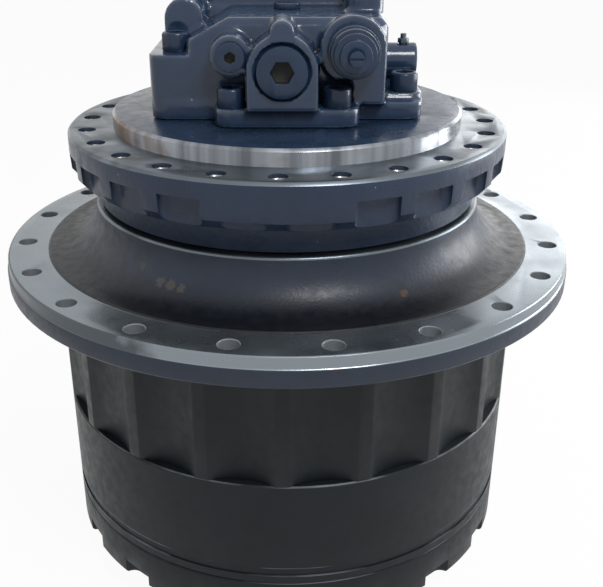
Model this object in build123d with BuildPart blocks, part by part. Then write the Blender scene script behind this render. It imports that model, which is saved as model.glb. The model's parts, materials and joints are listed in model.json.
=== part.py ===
"""Final drive of a tracked excavator: travel motor, two-stage planetary gear and sprocket hub.

It stands on its end cover, with the axis of the hub along +Z and the valve block's plugs facing -Y.
Millimetres.
"""

import os
from math import acos, cos, pi, radians, sin, tan

from build123d import *

# Fits
running_gap = 0.3
seat_gap = 0.05
face_gap = 0.1

# Gear train
gear_module = 5.5
pressure_angle = 25.0
flank_gap = 0.3
ring_teeth = 66
first_sun_teeth = 12
second_sun_teeth = 18
planet_count = 3
first_gear_width = 30.0
second_gear_width = 38.0
first_gear_rise = 4.0
thrust_washer_thickness = 2.0
first_carrier_thickness = 12.0
stage_clearance = 2.0
second_lower_plate = 8.0
second_upper_plate = 26.0
carrier_post_radius = 13.0
carrier_post_inset = 2.0
carrier_rim = 15.0
first_pin_radius = 18.0
first_pin_head = 6.0
second_pin_radius = 20.0
needle_radius = 3.0
needle_count = 16
needle_end_gap = 1.0
washer_overlap = 8.0
sun_bore_radius = 26.0
sun_shaft_radius = 18.0

# Drum and end cover
ring_wall = 33.625
ring_gear_height = 104.0
drum_groove_width = 8.0
drum_groove_depth = 1.2
drum_groove_rise = 9.0
drum_edge_chamfer = 1.5
drum_bolt_count = 18
drum_bolt_inset = 19.0
drum_bolt_diameter = 14.0
drum_bolt_engagement = 26.0
cover_foot_radius = 140.0
cover_foot_height = 29.0
cover_flange_thickness = 42.0
cover_wall = 14.0
cover_lobe_height = 15.0
cover_lobe_depth = 9.0
cover_plug_radius = 14.0
thrust_button_radius = 20.0

# Sprocket hub
hub_skirt_height = 120.5
hub_flange_thickness = 27.0
hub_neck_height = 42.5
hub_neck_wall = 21.5
hub_neck_fillet = 38.5
hub_bolt_count = 20
hub_bolt_clear_of_drum = 28.0
hub_bolt_turn = 8.0
hub_rim_width = 18.0
hub_machined_band = 10.0
hub_machined_step = 1.5
hub_machined_ring = 20.0
flute_depth = 7.5
flute_share = 0.83
rim_step = 1.5
rim_chamfer = 1.0
flange_chamfer = 2.0
neck_chamfer = 1.5
bearing_lead_in = 8.0
bearing_lead_step = 10.0
bearing_shoulder = 12.0
clearance_hole = 17.0

# Main bearings and floating seal
bearing_bore_radius = 122.0
bearing_section = 38.0
bearing_width = 36.0
bearing_spacing = 21.0
bearing_cone_angle = 14.0
main_roller_radius = 9.0
main_roller_length = 26.0
main_roller_count = 24
nut_thickness = 18.0
seal_recess_depth = 21.0
seal_ring_width = 18.0
seal_wall = 13.5
labyrinth_gap = 3.0

# Motor casing
casing_neck_height = 24.0
casing_neck_step = 4.5
mount_boss_height = 40.5
mount_rim_thickness = 16.5
mount_bolt_count = 24
mount_bolt_turn = -2.1
mount_bolt_clear_of_neck = 7.5
mount_rim_width = 17.5
mount_thread_diameter = 16.0
mount_thread_depth = 30.0
mount_pocket_depth = 8.0
mount_pocket_width = 38.0
front_pocket_height = 8.0
spigot_height = 14.5
spigot_inset = 41.0
motor_bore_radius = 80.0
motor_bore_ledge = 6.0
spindle_tail_radius = 112.0
spindle_tail_length = 28.0
spindle_bore_radius = 50.0
front_bearing_radius = 44.0
front_bearing_width = 20.0
oil_seal_radius = 31.0
oil_seal_width = 9.0

# Motor rotating group
shaft_radius = 24.0
shaft_rear_radius = 20.0
coupling_radius = 32.0
piston_count = 9
piston_circle_radius = 41.0
piston_radius = 9.5
cylinder_block_radius = 60.0
cylinder_block_height = 90.0
swash_plate_radius = 68.0
swash_plate_thickness = 20.0
pivot_ball_radius = 8.5
pivot_circle_radius = 59.0
valve_plate_thickness = 7.0
brake_plate_thickness = 3.0
brake_plate_pairs = 5
brake_piston_height = 34.0
brake_spring_count = 10
brake_spring_radius = 4.0
brake_spring_pocket = 12.0

# Valve block
block_pad_height = 16.0
block_body_height = 85.0
block_rear_rise = 20.0
block_body_width = 172.0
block_body_depth = 132.0
block_base_width = 236.0
block_base_depth = 134.0
block_corner = 14.0
block_edge_chamfer = 6.0
block_front_reach = 97.0
block_front_width = 122.0
left_shoulder_height = 55.0
right_shoulder_height = 22.0
left_shoulder_depth = 132.0
right_shoulder_depth = 116.0
shoulder_overlap = 10.0
shoulder_corner = 12.0
deck_slope_start = 50.0
deck_slope_drop = 19.0
deck_slope_rear = 20.0
block_bolt_diameter = 16.0
block_bolt_reach = 30.0
spool_offset = -4.0
spool_rise = 48.0
spool_radius = 12.0
spool_length = 124.0
spool_travel = 6.0
spool_plug_radius = 21.0
spool_boss_radius = 29.5
spool_boss_foot = 32.0
spool_nub_radius = 10.0
spool_nub_rise = 1.0
spool_boss_reach = 105.0
spool_end_room = 8.0
spool_thread_step = 4.0
spool_recess_gap = 2.5
spool_recess_depth = 4.0
spool_plug_height = 8.0
spool_plug_hex = 8.5
spool_plug_hex_depth = 9.0
spool_groove_pitch = 30.0
spool_groove_width = 16.0
spool_groove_depth = 4.0
spring_seat_wall = 10.0
spring_outer_gap = 1.0
spring_wire = 2.5
gallery_plug_radius = 12.0
gallery_offset = -46.5
gallery_rise = 58.0
gallery_boss_reach = 92.0
gallery_boss_wall = 5.0
gallery_thread_step = 3.0
gallery_bore_depth = 26.0
deck_plug_depth = 12.0
nipple_bore_depth = 10.0
head_clearance = 1.5
head_recess_over = 5.0
bolt_hole_gap = 0.5
relief_offset = 55.0
relief_rise = 61.0
relief_boss_radius = 28.0
relief_boss_reach = 78.0
relief_bore_radius = 15.0
relief_bore_depth = 36.0
relief_cap_steps = ((21.5, 14.0), (20.0, 8.0), (17.5, 6.0), (13.0, 8.0))
relief_nose = 43.0
adjuster_radius = 6.0
adjuster_seat = 10.0
port_radius = 15.2
port_depth = 22.0
port_spacing = 84.0
drain_port_radius = 9.5
speed_spool_radius = 6.0
speed_spool_length = 24.0
speed_spool_travel = 6.0
speed_spring_room = 6.0
pilot_port_radius = 7.5
pilot_port_depth = 16.0
pilot_boss_radius = 12.0
pilot_port_set_back = 2.5
speed_boss_radius = 17.0
speed_boss_rise = 80.0
speed_boss_rear = 22.0
speed_boss_length = 50.0
speed_bore_wall = 8.0
speed_offset = -90.0
side_boss_radius = 15.0
side_boss_length = 42.0
side_boss_place = 4.0
side_boss_rise = 40.0
nipple_offset = 106.0
nipple_radius = 4.0
nipple_hex = 4.5
nipple_hex_height = 4.0
nipple_tip_height = 4.0
port_set_in = 24.0
rear_pad_depth = 44.0
rear_pad_inset = 6.0
lug_offset = 68.0
lug_width = 34.0
lug_depth = 50.0
lug_rise = 14.0
deck_plug_place = 4.0
block_overlap = 10.0

# Gear sizes that follow from the tooth counts
first_planet_teeth = (ring_teeth - first_sun_teeth) // 2
second_planet_teeth = (ring_teeth - second_sun_teeth) // 2
first_centre = gear_module * (first_sun_teeth + first_planet_teeth) / 2
second_centre = gear_module * (second_sun_teeth + second_planet_teeth) / 2
ring_pitch_radius = gear_module * ring_teeth / 2
ring_tip_radius = ring_pitch_radius - gear_module
ring_root_radius = ring_pitch_radius + 1.25 * gear_module
drum_radius = ring_root_radius + ring_wall

# Radii of the hub, bearings and casing
drum_bolt_circle = drum_radius - drum_bolt_inset
hub_bolt_circle = drum_radius + hub_bolt_clear_of_drum
hub_flange_radius = hub_bolt_circle + hub_rim_width
hub_face_radius = hub_bolt_circle - hub_machined_ring
register_radius = hub_flange_radius - rim_step
bearing_outer_radius = bearing_bore_radius + bearing_section
bearing_middle_radius = bearing_bore_radius + bearing_section / 2
hub_neck_radius = bearing_outer_radius + hub_neck_wall
seal_recess_radius = hub_neck_radius - seal_wall
casing_neck_radius = hub_neck_radius - casing_neck_step
mount_bolt_circle = casing_neck_radius + mount_bolt_clear_of_neck
mount_flange_radius = mount_bolt_circle + mount_rim_width
spigot_radius = mount_flange_radius - spigot_inset
flute_half_angle = flute_share * pi / hub_bolt_count
flute_floor = drum_radius - flute_depth
flute_sagitta = drum_radius * cos(flute_half_angle) - flute_floor
flute_circle = (drum_radius**2 - flute_floor**2) / (2 * flute_sagitta)
carrier_radius = second_centre + second_pin_radius + carrier_rim
carrier_post_circle = carrier_radius - carrier_post_radius - carrier_post_inset

# Heights of the drum and hub
drum_bottom = cover_foot_height + cover_flange_thickness
drum_top = drum_bottom + ring_gear_height
flange_bottom = drum_top + hub_skirt_height
flange_top = flange_bottom + hub_flange_thickness
neck_top = flange_top + hub_neck_height
casing_bottom = neck_top + labyrinth_gap
boss_bottom = casing_bottom + casing_neck_height
mount_face = boss_bottom + mount_boss_height
spigot_top = mount_face + spigot_height

# Heights of the gear train
first_gear_bottom = drum_bottom + first_gear_rise
first_carrier_bottom = first_gear_bottom + first_gear_width + thrust_washer_thickness
first_carrier_top = first_carrier_bottom + first_carrier_thickness
second_carrier_bottom = first_carrier_top + stage_clearance
second_gear_bottom = second_carrier_bottom + second_lower_plate + thrust_washer_thickness
second_gear_top = second_gear_bottom + second_gear_width
second_plate_bottom = second_gear_top + thrust_washer_thickness
spindle_bottom = second_plate_bottom + second_upper_plate

# Heights of the bearings, counted up from the spindle's end
nut_bottom = spindle_bottom + spindle_tail_length
lower_bearing_bottom = nut_bottom + nut_thickness
lower_bearing_top = lower_bearing_bottom + bearing_width
upper_bearing_bottom = lower_bearing_top + bearing_spacing
upper_bearing_top = upper_bearing_bottom + bearing_width
hub_recess_floor = neck_top - seal_recess_depth
casing_recess_roof = casing_bottom + seal_recess_depth
seal_plane = (neck_top + casing_bottom) / 2

# Heights of the motor
oil_seal_bottom = nut_bottom + 4
front_bearing_bottom = oil_seal_bottom + oil_seal_width
motor_floor = front_bearing_bottom + front_bearing_width
swash_bottom = motor_floor + 8
swash_top = swash_bottom + swash_plate_thickness
shoe_top = swash_top + face_gap + 3
cylinder_bottom = swash_top + 28
cylinder_top = cylinder_bottom + cylinder_block_height
block_boss_bottom = cylinder_top + face_gap + valve_plate_thickness
brake_bottom = cylinder_bottom + 22
brake_top = brake_bottom + 2 * brake_plate_pairs * brake_plate_thickness
brake_piston_top = brake_top + brake_piston_height
shaft_bottom = spindle_bottom + 15
motor_ledge_radius = motor_bore_radius - motor_bore_ledge
brake_spring_circle = (motor_bore_radius + cylinder_block_radius + 4) / 2
rear_bearing_radius = front_bearing_radius - 6
rear_bearing_top = block_boss_bottom + 25

# Heights of the valve block
pad_top = spigot_top + block_pad_height
body_top = spigot_top + block_body_height
rear_top = body_top + block_rear_rise
spool_height = spigot_top + spool_rise
gallery_height = spigot_top + gallery_rise
relief_height = spigot_top + relief_rise
speed_height = spigot_top + speed_boss_rise
side_boss_height = spigot_top + side_boss_rise
nipple_seat = side_boss_height + side_boss_radius
speed_bore_rear = speed_boss_rear - speed_bore_wall
speed_bore_length = speed_spool_length + speed_spool_travel + speed_spring_room
pilot_port_place = speed_bore_rear - pilot_port_radius - pilot_port_set_back
pilot_port_mouth = speed_height + speed_spool_radius + pilot_port_depth - 1

# Angles, measured from +X; the photographed side is -Y
front = -90.0
hub_bolt_start = front + hub_bolt_turn
mount_bolt_start = front + mount_bolt_turn
drum_bolt_start = front + 180 / drum_bolt_count

front_plane = Plane.XZ
rear_plane = Plane(origin=(0, 0, 0), x_dir=(-1, 0, 0), z_dir=(0, 1, 0))
left_bolt_seat = spigot_top + left_shoulder_height
right_bolt_seat = spigot_top + right_shoulder_height
block_bolt_seats = (
    (-47, -83, pad_top),
    (42, -83, pad_top),
    (102, -45, right_bolt_seat),
    (-96, -40, left_bolt_seat),
    (47, 83, pad_top),
    (-42, 83, pad_top),
    (102, 42, right_bolt_seat),
    (-96, 40, left_bolt_seat),
)


def polar(radius, angle):
    """Point at a radius and an angle in radians."""
    return (radius * cos(angle), radius * sin(angle))


def involute(angle):
    """Involute function of an angle in radians."""
    return tan(angle) - angle


def gear_face(teeth, low_radius, high_radius, tooth_width, turn):
    """Face of a spur gear whose flanks are arcs through three points of the involute."""
    pitch_radius = gear_module * teeth / 2
    working_angle = radians(pressure_angle)
    base_radius = pitch_radius * cos(working_angle)
    flank_foot = max(low_radius, base_radius)
    flank_radii = (flank_foot, (flank_foot + high_radius) / 2, high_radius)
    spread = [
        tooth_width / (2 * pitch_radius) + involute(working_angle) - involute(acos(base_radius / radius))
        for radius in flank_radii
    ]
    step = 2 * pi / teeth
    with BuildSketch(mode=Mode.PRIVATE) as face:
        with BuildLine():
            for tooth in range(teeth):
                middle = tooth * step + radians(turn)
                rise = [polar(radius, middle - half) for radius, half in zip(flank_radii, spread)]
                fall = [polar(radius, middle + half) for radius, half in zip(flank_radii, spread)]
                root_start = polar(low_radius, middle + spread[0])
                root_end = polar(low_radius, middle + step - spread[0])
                if low_radius < flank_foot:
                    Line(polar(low_radius, middle - spread[0]), rise[0])
                    Line(fall[0], root_start)
                ThreePointArc(*rise)
                ThreePointArc(rise[2], polar(high_radius, middle), fall[2])
                ThreePointArc(*fall)
                ThreePointArc(root_start, polar(low_radius, middle + step / 2), root_end)
        make_face()
    return face.sketch


def spur_face(teeth, turn, widening=-flank_gap):
    """Face of an outside gear; its teeth are thinned by the flank gap."""
    pitch_radius = gear_module * teeth / 2
    tooth_width = pi * gear_module / 2 + widening
    root_radius = pitch_radius - 1.25 * gear_module
    return gear_face(teeth, root_radius, pitch_radius + gear_module, tooth_width, turn)


def sun_turn(sun_teeth, planet_teeth):
    """Turn that puts a space of the sun where a planet's tooth points at it."""
    return 0 if planet_teeth % 2 else 180 / sun_teeth


def ring_part(inner, outer, bottom, height):
    """Plain ring about the main axis."""
    with BuildPart(mode=Mode.PRIVATE) as ring:
        with BuildSketch(Plane.XY.offset(bottom)):
            Circle(outer)
            Circle(inner, mode=Mode.SUBTRACT)
        extrude(amount=height)
    return ring.part


def turned_part(points):
    """Body turned about the main axis from a profile of (radius, height) points."""
    with BuildPart(mode=Mode.PRIVATE) as body:
        with BuildSketch(Plane.XZ):
            with BuildLine():
                Polyline(*points, close=True)
            make_face()
        revolve(axis=Axis.Z)
    return body.part


def socket_screw(diameter, reach):
    """Socket head cap screw that points down, with its seat at the origin."""
    head_radius = 0.75 * diameter
    with BuildPart(mode=Mode.PRIVATE) as screw:
        with BuildSketch():
            Circle(head_radius)
        extrude(amount=diameter)
        chamfer(screw.edges().sort_by(Axis.Z)[-1], 0.08 * diameter)
        with BuildSketch():
            Circle(diameter / 2 - seat_gap)
        extrude(amount=-reach)
        with BuildSketch(Plane.XY.offset(diameter)):
            RegularPolygon(0.44 * diameter, 6, major_radius=False)
        extrude(amount=-0.5 * diameter, mode=Mode.SUBTRACT)
    return screw.part


def keep(part, name):
    """Name a piece and write its STEP file."""
    part.label = name
    export_step(part, f"parts/{name}.step")


os.makedirs("parts", exist_ok=True)

# Gear faces
ring_space_width = pi * gear_module / 2 + flank_gap
ring_spaces = gear_face(ring_teeth, ring_tip_radius, ring_root_radius, ring_space_width, front)
first_sun_face = spur_face(first_sun_teeth, front + sun_turn(first_sun_teeth, first_planet_teeth))
second_sun_face = spur_face(second_sun_teeth, front + sun_turn(second_sun_teeth, second_planet_teeth))
second_sun_socket = spur_face(
    second_sun_teeth, front + sun_turn(second_sun_teeth, second_planet_teeth), widening=flank_gap
)

# Sprocket hub: fluted skirt, bolting flange, neck and bearing seats in one casting
with BuildPart() as hub:
    fillet_foot = flange_top + hub_machined_step
    with BuildSketch(Plane.XZ):
        with BuildLine():
            neck_line = Polyline(
                (seal_recess_radius, neck_top),
                (hub_neck_radius - neck_chamfer, neck_top),
                (hub_neck_radius, neck_top - neck_chamfer),
                (hub_neck_radius, fillet_foot + hub_neck_fillet),
            )
            neck_arc = RadiusArc(
                neck_line @ 1, (hub_neck_radius + hub_neck_fillet, fillet_foot), -hub_neck_fillet
            )
            Polyline(
                neck_arc @ 1,
                (hub_face_radius - hub_machined_step, fillet_foot),
                (hub_face_radius, flange_top),
                (register_radius - rim_chamfer, flange_top),
                (register_radius, flange_top - rim_chamfer),
                (register_radius, flange_top - hub_machined_band),
                (hub_flange_radius, flange_top - hub_machined_band - rim_chamfer),
                (hub_flange_radius, flange_bottom + flange_chamfer),
                (hub_flange_radius - flange_chamfer, flange_bottom),
                (drum_radius, flange_bottom),
                (drum_radius, drum_top),
                (bearing_outer_radius + bearing_lead_step, drum_top),
                (bearing_outer_radius + bearing_lead_step, lower_bearing_bottom - bearing_lead_in),
                (bearing_outer_radius, lower_bearing_bottom - bearing_lead_in),
                (bearing_outer_radius, lower_bearing_top),
                (bearing_outer_radius - bearing_shoulder, lower_bearing_top),
                (bearing_outer_radius - bearing_shoulder, upper_bearing_bottom),
                (bearing_outer_radius, upper_bearing_bottom),
                (bearing_outer_radius, hub_recess_floor),
                (seal_recess_radius, hub_recess_floor),
                neck_line @ 0,
            )
        make_face()
    revolve(axis=Axis.Z)
    with BuildSketch(Plane.XY.offset(drum_top)):
        with PolarLocations(flute_circle, hub_bolt_count, start_angle=hub_bolt_start):
            Circle(flute_circle - flute_floor)
    extrude(amount=hub_skirt_height, mode=Mode.SUBTRACT)
    with BuildSketch(Plane.XY.offset(flange_bottom)):
        with PolarLocations(hub_bolt_circle, hub_bolt_count, start_angle=hub_bolt_start):
            Circle(clearance_hole / 2)
    extrude(amount=hub_flange_thickness, mode=Mode.SUBTRACT)
    with BuildSketch(Plane.XY.offset(drum_top)):
        with PolarLocations(drum_bolt_circle, drum_bolt_count, start_angle=drum_bolt_start):
            Circle(drum_bolt_diameter / 2)
    extrude(amount=drum_bolt_engagement + 4, mode=Mode.SUBTRACT)
keep(hub.part, "hub")

# Ring gear: the smooth lower half of the drum, toothed inside for both stages
with BuildPart() as ring_gear:
    with BuildSketch(Plane.XY.offset(drum_bottom)):
        Circle(drum_radius)
        add(ring_spaces, mode=Mode.SUBTRACT)
        with PolarLocations(drum_bolt_circle, drum_bolt_count, start_angle=drum_bolt_start):
            Circle(drum_bolt_diameter / 2 + 0.5, mode=Mode.SUBTRACT)
    extrude(amount=ring_gear_height)
    rims = ring_gear.edges().filter_by(GeomType.CIRCLE).group_by(SortBy.RADIUS)[-1]
    chamfer(rims, drum_edge_chamfer)
    with BuildSketch(Plane.XY.offset(drum_bottom + drum_groove_rise)):
        Circle(drum_radius + 1)
        Circle(drum_radius - drum_groove_depth, mode=Mode.SUBTRACT)
    extrude(amount=drum_groove_width, mode=Mode.SUBTRACT)
keep(ring_gear.part, "ring_gear")

# End cover: dished plate with a lobed rim, one lobe to each bolt
with BuildPart() as end_cover:
    foot_slope = 8
    with BuildSketch(Plane.XZ):
        with BuildLine():
            Polyline(
                (0, 0),
                (cover_foot_radius - 4, 0),
                (cover_foot_radius, 4),
                (cover_foot_radius + foot_slope, cover_foot_height),
                (drum_radius - 2, cover_foot_height),
                (drum_radius, cover_foot_height + 2),
                (drum_radius, drum_bottom - drum_edge_chamfer),
                (drum_radius - drum_edge_chamfer, drum_bottom),
                (ring_root_radius + 4, drum_bottom),
                (ring_root_radius - 2, cover_foot_height + cover_wall),
                (cover_foot_radius - 6, cover_foot_height + cover_wall),
                (cover_foot_radius - cover_wall, cover_wall),
                (thrust_button_radius + 14, cover_wall),
                (thrust_button_radius + 8, cover_foot_height),
                (0, cover_foot_height),
                close=True,
            )
        make_face()
    revolve(axis=Axis.Z)
    lobe_pitch = 2 * pi * drum_radius / drum_bolt_count
    with BuildSketch(Plane.XY.offset(cover_foot_height)):
        with PolarLocations(drum_radius + 4, drum_bolt_count, start_angle=front):
            RectangleRounded(2 * cover_lobe_depth + 8, 0.4 * lobe_pitch, cover_lobe_depth)
    extrude(amount=cover_lobe_height, mode=Mode.SUBTRACT)
    with BuildSketch(Plane.XY.offset(cover_foot_height)):
        with PolarLocations(drum_bolt_circle, drum_bolt_count, start_angle=drum_bolt_start):
            Circle(drum_bolt_diameter / 2 + 0.5)
    extrude(amount=cover_flange_thickness, mode=Mode.SUBTRACT)
    with BuildSketch():
        with PolarLocations(cover_foot_radius - 45, 3, start_angle=front):
            Circle(cover_plug_radius)
    extrude(amount=cover_wall, mode=Mode.SUBTRACT)
    with BuildSketch():
        with PolarLocations(cover_foot_radius - 45, 3, start_angle=front):
            Circle(cover_plug_radius + 6)
    extrude(amount=6, mode=Mode.SUBTRACT)
keep(end_cover.part, "end_cover")

# Long bolts that clamp cover, ring gear and hub
with BuildPart() as drum_bolts:
    bolt_reach = cover_flange_thickness + ring_gear_height + drum_bolt_engagement
    with BuildSketch(Plane.XY.offset(cover_foot_height)):
        with PolarLocations(drum_bolt_circle, drum_bolt_count, start_angle=drum_bolt_start):
            RegularPolygon(0.75 * drum_bolt_diameter, 6, major_radius=False)
    extrude(amount=-0.65 * drum_bolt_diameter)
    with BuildSketch(Plane.XY.offset(cover_foot_height)):
        with PolarLocations(drum_bolt_circle, drum_bolt_count, start_angle=drum_bolt_start):
            Circle(drum_bolt_diameter / 2 - seat_gap)
    extrude(amount=bolt_reach)
keep(drum_bolts.part, "drum_bolts")

# Fill, level and drain plugs in the cover
with BuildPart() as cover_plugs:
    with BuildSketch(Plane.XY.offset(1)):
        with PolarLocations(cover_foot_radius - 45, 3, start_angle=front):
            Circle(cover_plug_radius + 5)
    extrude(amount=5)
    with BuildSketch(Plane.XY.offset(6)):
        with PolarLocations(cover_foot_radius - 45, 3, start_angle=front):
            Circle(cover_plug_radius - seat_gap)
    extrude(amount=cover_wall - 6)
    with BuildSketch(Plane.XY.offset(1)):
        with PolarLocations(cover_foot_radius - 45, 3, start_angle=front):
            RegularPolygon(6, 6, major_radius=False)
    extrude(amount=6, mode=Mode.SUBTRACT)
keep(cover_plugs.part, "cover_plugs")

# Button that takes the end thrust of the input sun
button_top = first_gear_bottom - 7.5
with BuildPart() as thrust_button:
    with BuildSketch(Plane.XY.offset(cover_foot_height)):
        Circle(thrust_button_radius)
    extrude(amount=button_top - cover_foot_height)
    chamfer(thrust_button.faces().sort_by(Axis.Z)[-1].edges(), 3)
keep(thrust_button.part, "thrust_button")

# Motor casing: frame flange, spigot, spindle and motor housing in one casting
with BuildPart() as motor_casing:
    with BuildSketch(Plane.XZ):
        with BuildLine():
            Polyline(
                (spindle_bore_radius, spindle_bottom),
                (spindle_tail_radius, spindle_bottom),
                (spindle_tail_radius, nut_bottom),
                (bearing_bore_radius - 4, nut_bottom),
                (bearing_bore_radius - 4, lower_bearing_bottom),
                (bearing_bore_radius, lower_bearing_bottom),
                (bearing_bore_radius, upper_bearing_top),
                (bearing_bore_radius + 12, upper_bearing_top),
                (bearing_bore_radius + 12, casing_recess_roof),
                (seal_recess_radius, casing_recess_roof),
                (seal_recess_radius, casing_bottom),
                (casing_neck_radius, casing_bottom),
                (casing_neck_radius, boss_bottom - 4),
                (casing_neck_radius + 4, boss_bottom),
                (mount_flange_radius - 8, boss_bottom),
                (mount_flange_radius - 1, boss_bottom + 8),
                (mount_flange_radius, mount_face - mount_rim_thickness),
                (mount_flange_radius, mount_face - 2.5),
                (mount_flange_radius - 2.5, mount_face),
                (spigot_radius, mount_face),
                (spigot_radius, spigot_top - 2.5),
                (spigot_radius - 2.5, spigot_top),
                (motor_bore_radius, spigot_top),
                (motor_bore_radius, brake_bottom),
                (motor_ledge_radius, brake_bottom),
                (motor_ledge_radius, motor_floor),
                (front_bearing_radius, motor_floor),
                (front_bearing_radius, front_bearing_bottom),
                (oil_seal_radius, front_bearing_bottom),
                (oil_seal_radius, oil_seal_bottom),
                (spindle_bore_radius, oil_seal_bottom),
                close=True,
            )
        make_face()
    revolve(axis=Axis.Z)
    pocket_height = mount_face - mount_rim_thickness - boss_bottom + 1
    pocket_pitch = 360 / mount_bolt_count
    with BuildSketch(Plane.XY.offset(boss_bottom - 1)):
        with PolarLocations(
            mount_flange_radius,
            mount_bolt_count - 2,
            start_angle=mount_bolt_start + 1.5 * pocket_pitch,
            angular_range=(mount_bolt_count - 2) * pocket_pitch,
        ):
            RectangleRounded(2 * mount_pocket_depth, mount_pocket_width, mount_pocket_depth - 2)
    extrude(amount=pocket_height, mode=Mode.SUBTRACT)
    with BuildSketch(Plane.XY.offset(boss_bottom - 1)):
        with PolarLocations(
            mount_flange_radius,
            2,
            start_angle=mount_bolt_start - 0.5 * pocket_pitch,
            angular_range=2 * pocket_pitch,
        ):
            RectangleRounded(2 * mount_pocket_depth, mount_pocket_width, mount_pocket_depth - 2)
    extrude(amount=front_pocket_height + 1, mode=Mode.SUBTRACT)
    with BuildSketch(Plane.XY.offset(mount_face)):
        with PolarLocations(mount_bolt_circle, mount_bolt_count, start_angle=mount_bolt_start):
            Circle(mount_thread_diameter / 2)
    extrude(amount=-mount_thread_depth, mode=Mode.SUBTRACT)
    with BuildSketch(Plane.XY.offset(spigot_top)):
        with Locations(*[(x, y) for x, y, seat in block_bolt_seats]):
            Circle(block_bolt_diameter / 2)
    extrude(amount=-block_bolt_reach, mode=Mode.SUBTRACT)
    with Locations((0, pivot_circle_radius, motor_floor)):
        Cylinder(
            pivot_ball_radius,
            14,
            align=(Align.CENTER, Align.CENTER, Align.MAX),
            mode=Mode.SUBTRACT,
        )
    with Locations(*[(side * pivot_circle_radius, 0, motor_floor + 4) for side in (-1, 1)]):
        Sphere(pivot_ball_radius + seat_gap, mode=Mode.SUBTRACT)
keep(motor_casing.part, "motor_casing")

# Tapered roller bearings between spindle and hub, set back to back
race_half_gap = (main_roller_radius + face_gap) / cos(radians(bearing_cone_angle))
race_slope = tan(radians(bearing_cone_angle)) * bearing_width / 2
bearing_places = ((lower_bearing_bottom, -1), (upper_bearing_bottom, 1))
with BuildPart() as bearing_inner_rings:
    for bottom, lean in bearing_places:
        with BuildSketch(Plane.XZ):
            with BuildLine():
                Polyline(
                    (bearing_bore_radius + seat_gap, bottom),
                    (bearing_middle_radius - race_half_gap - lean * race_slope, bottom),
                    (bearing_middle_radius - race_half_gap + lean * race_slope, bottom + bearing_width),
                    (bearing_bore_radius + seat_gap, bottom + bearing_width),
                    close=True,
                )
            make_face()
        revolve(axis=Axis.Z)
keep(bearing_inner_rings.part, "bearing_inner_rings")

with BuildPart() as bearing_outer_rings:
    for bottom, lean in bearing_places:
        with BuildSketch(Plane.XZ):
            with BuildLine():
                Polyline(
                    (bearing_outer_radius - seat_gap, bottom),
                    (bearing_middle_radius + race_half_gap - lean * race_slope, bottom),
                    (bearing_middle_radius + race_half_gap + lean * race_slope, bottom + bearing_width),
                    (bearing_outer_radius - seat_gap, bottom + bearing_width),
                    close=True,
                )
            make_face()
        revolve(axis=Axis.Z)
keep(bearing_outer_rings.part, "bearing_outer_rings")

with BuildPart() as main_rollers:
    for bottom, lean in bearing_places:
        with Locations((0, 0, bottom + bearing_width / 2)):
            with PolarLocations(bearing_middle_radius, main_roller_count):
                Cylinder(main_roller_radius, main_roller_length, rotation=(0, lean * bearing_cone_angle, 0))
keep(main_rollers.part, "main_rollers")

# Slotted nut that sets the bearings
with BuildPart() as bearing_nut:
    nut_radius = bearing_bore_radius + 18
    with BuildSketch(Plane.XY.offset(nut_bottom)):
        Circle(nut_radius)
        Circle(bearing_bore_radius - 4 + seat_gap, mode=Mode.SUBTRACT)
        with PolarLocations(nut_radius, 6):
            Rectangle(12, 14, mode=Mode.SUBTRACT)
    extrude(amount=nut_thickness)
keep(bearing_nut.part, "bearing_nut")

# Floating seal: two lapped rings, each pressed by a rubber ring
seal_inner = bearing_bore_radius + 14
seal_outer = seal_inner + seal_ring_width
seal_rubber = (seal_recess_radius - seal_outer) / 2
for name, side in (("seal_ring_fixed", 1), ("seal_ring_turning", -1)):
    face = seal_plane + side * face_gap
    back = face + side * (seal_recess_depth - 3)
    lip = face + side * 3
    seal_profile = ((seal_inner, face), (seal_outer + seal_rubber, face), (seal_outer + seal_rubber, lip),
                    (seal_outer, lip), (seal_outer, back), (seal_inner, back))
    keep(turned_part(seal_profile), name)
for name, roof, side in (
    ("seal_rubber_fixed", casing_recess_roof, -1),
    ("seal_rubber_turning", hub_recess_floor, 1),
):
    with BuildPart() as seal_rubber_ring:
        with Locations((0, 0, roof + side * (seal_rubber + face_gap))):
            Torus((seal_recess_radius + seal_outer) / 2, seal_rubber - face_gap)
    keep(seal_rubber_ring.part, name)

# Second-stage carrier: two plates and three posts, splined to the spindle
with BuildPart() as second_carrier:
    with BuildSketch(Plane.XY.offset(second_carrier_bottom)):
        Circle(carrier_radius)
    extrude(amount=second_lower_plate)
    with BuildSketch(Plane.XY.offset(second_carrier_bottom)):
        with PolarLocations(carrier_post_circle, planet_count, start_angle=front + 180 / planet_count):
            Circle(carrier_post_radius)
    extrude(amount=second_plate_bottom - second_carrier_bottom)
    with BuildSketch(Plane.XY.offset(second_plate_bottom)):
        Circle(carrier_radius)
    extrude(amount=second_upper_plate)
    with BuildSketch(Plane.XY.offset(spindle_bottom)):
        Circle(spindle_tail_radius + 22)
        Circle(spindle_tail_radius + seat_gap, mode=Mode.SUBTRACT)
    extrude(amount=spindle_tail_length - 4)
    sun_passage = gear_module * second_sun_teeth / 2 + gear_module + 3
    with BuildSketch(Plane.XY.offset(second_carrier_bottom)):
        Circle(sun_passage)
        with PolarLocations(second_centre, planet_count, start_angle=front):
            Circle(second_pin_radius + seat_gap)
    extrude(amount=spindle_bottom - second_carrier_bottom, mode=Mode.SUBTRACT)
keep(second_carrier.part, "second_carrier")

# Planet pins, needle sets and thrust washers of both stages
with BuildPart() as second_pins:
    with BuildSketch(Plane.XY.offset(second_carrier_bottom)):
        with PolarLocations(second_centre, planet_count, start_angle=front):
            Circle(second_pin_radius)
    extrude(amount=spindle_bottom - second_carrier_bottom)
keep(second_pins.part, "second_pins")

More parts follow.
